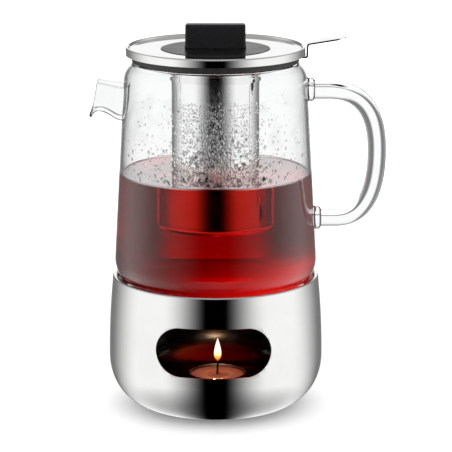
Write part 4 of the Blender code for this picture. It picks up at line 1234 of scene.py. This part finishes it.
knob_plastic = plastic("black_plastic", (0.010, 0.010, 0.011), 0.26)
outline = [(0.0023, disc_high.z), (disc_high.x - EDGE, disc_high.z), (disc_high.x, disc_high.z - EDGE)]
outline += [(disc_high.x, disc_low.z), (0.0023, disc_low.z), (0.0023, disc_high.z)]
disc = turned("lid_disc_inlay", outline, 128)
finish(disc, [knob_plastic], "lid", "black_plastic", "lid_disc")

KNOB_FLARE = 0.0018
KNOB_ROUND = 0.0016
KNOB_EDGE = 0.0003
knob_low, knob_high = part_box("lid_knob")
half_x = knob_high.x - KNOB_FLARE
half_y = knob_high.y - KNOB_FLARE
deselect()
bpy.ops.mesh.primitive_cube_add(size=1, location=(0, 0, (knob_low.z + knob_high.z) / 2))
knob = bpy.context.object
knob.name = knob.data.name = "bar_knob"
bpy.ops.object.mode_set(mode="EDIT")
bpy.ops.mesh.select_all(action="SELECT")
bpy.ops.transform.resize(
    value=(half_x * 2, half_y * 2, knob_high.z - knob_low.z),
    center_override=(0, 0, (knob_low.z + knob_high.z) / 2),
)
bpy.ops.object.mode_set(mode="OBJECT")
bpy.ops.object.transform_apply(location=True)
for edge in knob.data.edges:
    a, b = (knob.data.vertices[i].co for i in edge.vertices)
    edge.select = abs(a.z - b.z) > 0.001
bpy.ops.object.mode_set(mode="EDIT")
bpy.ops.mesh.bevel(offset=KNOB_ROUND, segments=8)
bpy.ops.mesh.select_all(action="DESELECT")
for level in (0.0004, 0.0009, 0.0015, 0.0022, 0.0027):
    bpy.ops.mesh.select_all(action="SELECT")
    bpy.ops.mesh.bisect(plane_co=(0, 0, knob_low.z + level), plane_no=(0, 0, 1))
bpy.ops.object.mode_set(mode="OBJECT")
for vert in knob.data.vertices:
    below = max(1 - (vert.co.z - knob_low.z) / 0.0027, 0.0)
    grow = KNOB_FLARE * (1 - math.sqrt(max(1 - below**2, 0.0)))
    length = math.hypot(vert.co.x / half_x, vert.co.y / half_y)
    side_x = max(abs(vert.co.x) - (half_x - KNOB_ROUND), 0.0)
    side_y = max(abs(vert.co.y) - (half_y - KNOB_ROUND), 0.0)
    reach = math.hypot(side_x, side_y)
    if reach > 0:
        vert.co.x += math.copysign(grow * side_x / reach, vert.co.x)
        vert.co.y += math.copysign(grow * side_y / reach, vert.co.y)
apply(knob, "BEVEL", width=KNOB_EDGE, segments=3, limit_method="ANGLE", angle_limit=math.radians(50))
bpy.ops.object.shade_smooth_by_angle(angle=math.radians(30))
finish(knob, [knob_plastic], "lid", "black_plastic", "lid_knob")
# The hidden screw and washer take the same near-black steel, painted as shade.
for node in ("knob_screw", "knob_washer"):
    frame["nodes"][node].data.materials.clear()
    frame["nodes"][node].data.materials.append(steel_painted_dark)


# ---------------------------------------------------------------- studio
# A small white sweep under the teapot, a white room with soft light from both sides and a dark gap
# behind the camera, which the polished steel and the glass reflect.
FLOOR_RADIUS = 0.30
deselect()
bpy.ops.mesh.primitive_circle_add(vertices=96, radius=FLOOR_RADIUS, fill_type="NGON")
floor = bpy.context.object
floor.name = "floor"
floor.visible_glossy = False
sweep, tree, shader = new_material("white_sweep")
shader.inputs["Roughness"].default_value = 1.0
shader.inputs["Specular IOR Level"].default_value = 0.0
tree.links.new(
    shades(tree, noise(tree, 40.0), (0.3, (0.90, 0.90, 0.90)), (0.7, (0.91, 0.91, 0.91))),
    shader.inputs["Base Color"],
)
floor.data.materials.append(sweep)

# Two tall soft boxes stand left and right, alike. Between them the room behind the camera is dark, and
# behind the teapot a strip of backdrop is lit. Bearings are in degrees from the camera's side.
GAP_EDGE = 10
BOX_FULL = 60
BOX_END = 90
REAR = 150
REAR_LEVEL = 0.2
STRIP = 170
STRIP_EDGE = 10
STRIP_LEVEL = 1.0
CEILING_LEVEL = 0.4
DOME_POLE = 0.975  # how far back, on the unit sphere, the lines of the dome meet
FLOOR_LEVEL = 0.35
FLOOR_FADE = (-0.55, -0.95)  # heights on the unit sphere, as for the ceiling
CEILING_FADE = (0.35, 0.75)
SEEN_WHITE = 1.6  # what the camera and matt surfaces see of the room
world = bpy.data.worlds.new("studio")
bpy.context.scene.world = world
world.use_nodes = True
tree = world.node_tree
toward = add_node(tree, "TexCoord").outputs["Generated"]
axes = add_node(tree, "SeparateXYZ", Vector=toward)



# High and low on the walls of the room the pattern runs together, as on a dome
level_turn = calculate(
    tree, "ARCTAN2", axes.outputs["X"], calculate(tree, "SUBTRACT", 0.0, axes.outputs["Y"])
)
dome_turn = calculate(
    tree, "ARCTAN2", axes.outputs["X"], calculate(tree, "SUBTRACT", DOME_POLE, axes.outputs["Y"])
)
dome_turn = calculate(tree, "MULTIPLY", dome_turn, 2.0)
is_level = calculate(
    tree,
    "MULTIPLY",
    spread(tree, axes.outputs["Y"], 0.0, 1.0, 0.4, 0.8),
    spread(tree, axes.outputs["Z"], 0.0, 1.0, -0.45, -0.30),
)
turned_by = calculate(tree, "MULTIPLY", calculate(tree, "SUBTRACT", level_turn, dome_turn), is_level)
bearing = calculate(tree, "ADD", dome_turn, turned_by)
bearing = calculate(tree, "ABSOLUTE", bearing, 0.0)


def blend(tree, first, second, share):
    """The first number where the share is 0, the second where it is 1."""
    step = calculate(tree, "SUBTRACT", second, first)
    return calculate(tree, "ADD", first, calculate(tree, "MULTIPLY", step, share))


def softly(tree, value, low, high, start, end):
    """Like spread, with soft ends."""
    made = spread(tree, value, low, high, start, end)
    made.node.interpolation_type = "SMOOTHSTEP"
    return made


box = softly(tree, bearing, 0.0, 1.0, math.radians(GAP_EDGE), math.radians(BOX_FULL))
falloff = softly(tree, bearing, 1.0, REAR_LEVEL, math.radians(BOX_END), math.radians(REAR))
strip = softly(tree, bearing, 0.0, 1.0, math.radians(STRIP - STRIP_EDGE), math.radians(STRIP))
room = blend(tree, calculate(tree, "MULTIPLY", box, falloff), STRIP_LEVEL, strip)
room = calculate(tree, "MULTIPLY", room, spread(tree, axes.outputs["Z"], 1.0, FLOOR_LEVEL, *FLOOR_FADE))
room = blend(tree, room, CEILING_LEVEL, spread(tree, axes.outputs["Z"], 0.0, 1.0, *CEILING_FADE))
path = add_node(tree, "LightPath")
seen = calculate(tree, "MAXIMUM", path.outputs["Is Camera Ray"], path.outputs["Is Diffuse Ray"])
shown = blend(tree, room, SEEN_WHITE, seen)
background = tree.nodes["Background"]
tree.links.new(shown, background.inputs["Color"])
bpy.context.scene.view_settings.view_transform = "Standard"

CAMERA_PLACE = (0.00685, -1.6072, 0.488)
CAMERA_PITCH = 0.225  # radians below the horizon
bpy.ops.object.camera_add(location=CAMERA_PLACE, rotation=(math.pi / 2 - CAMERA_PITCH, 0, 0))
camera = bpy.context.object
camera.data.lens = 199.1
camera.data.sensor_width = 36.0
bpy.context.scene.camera = camera
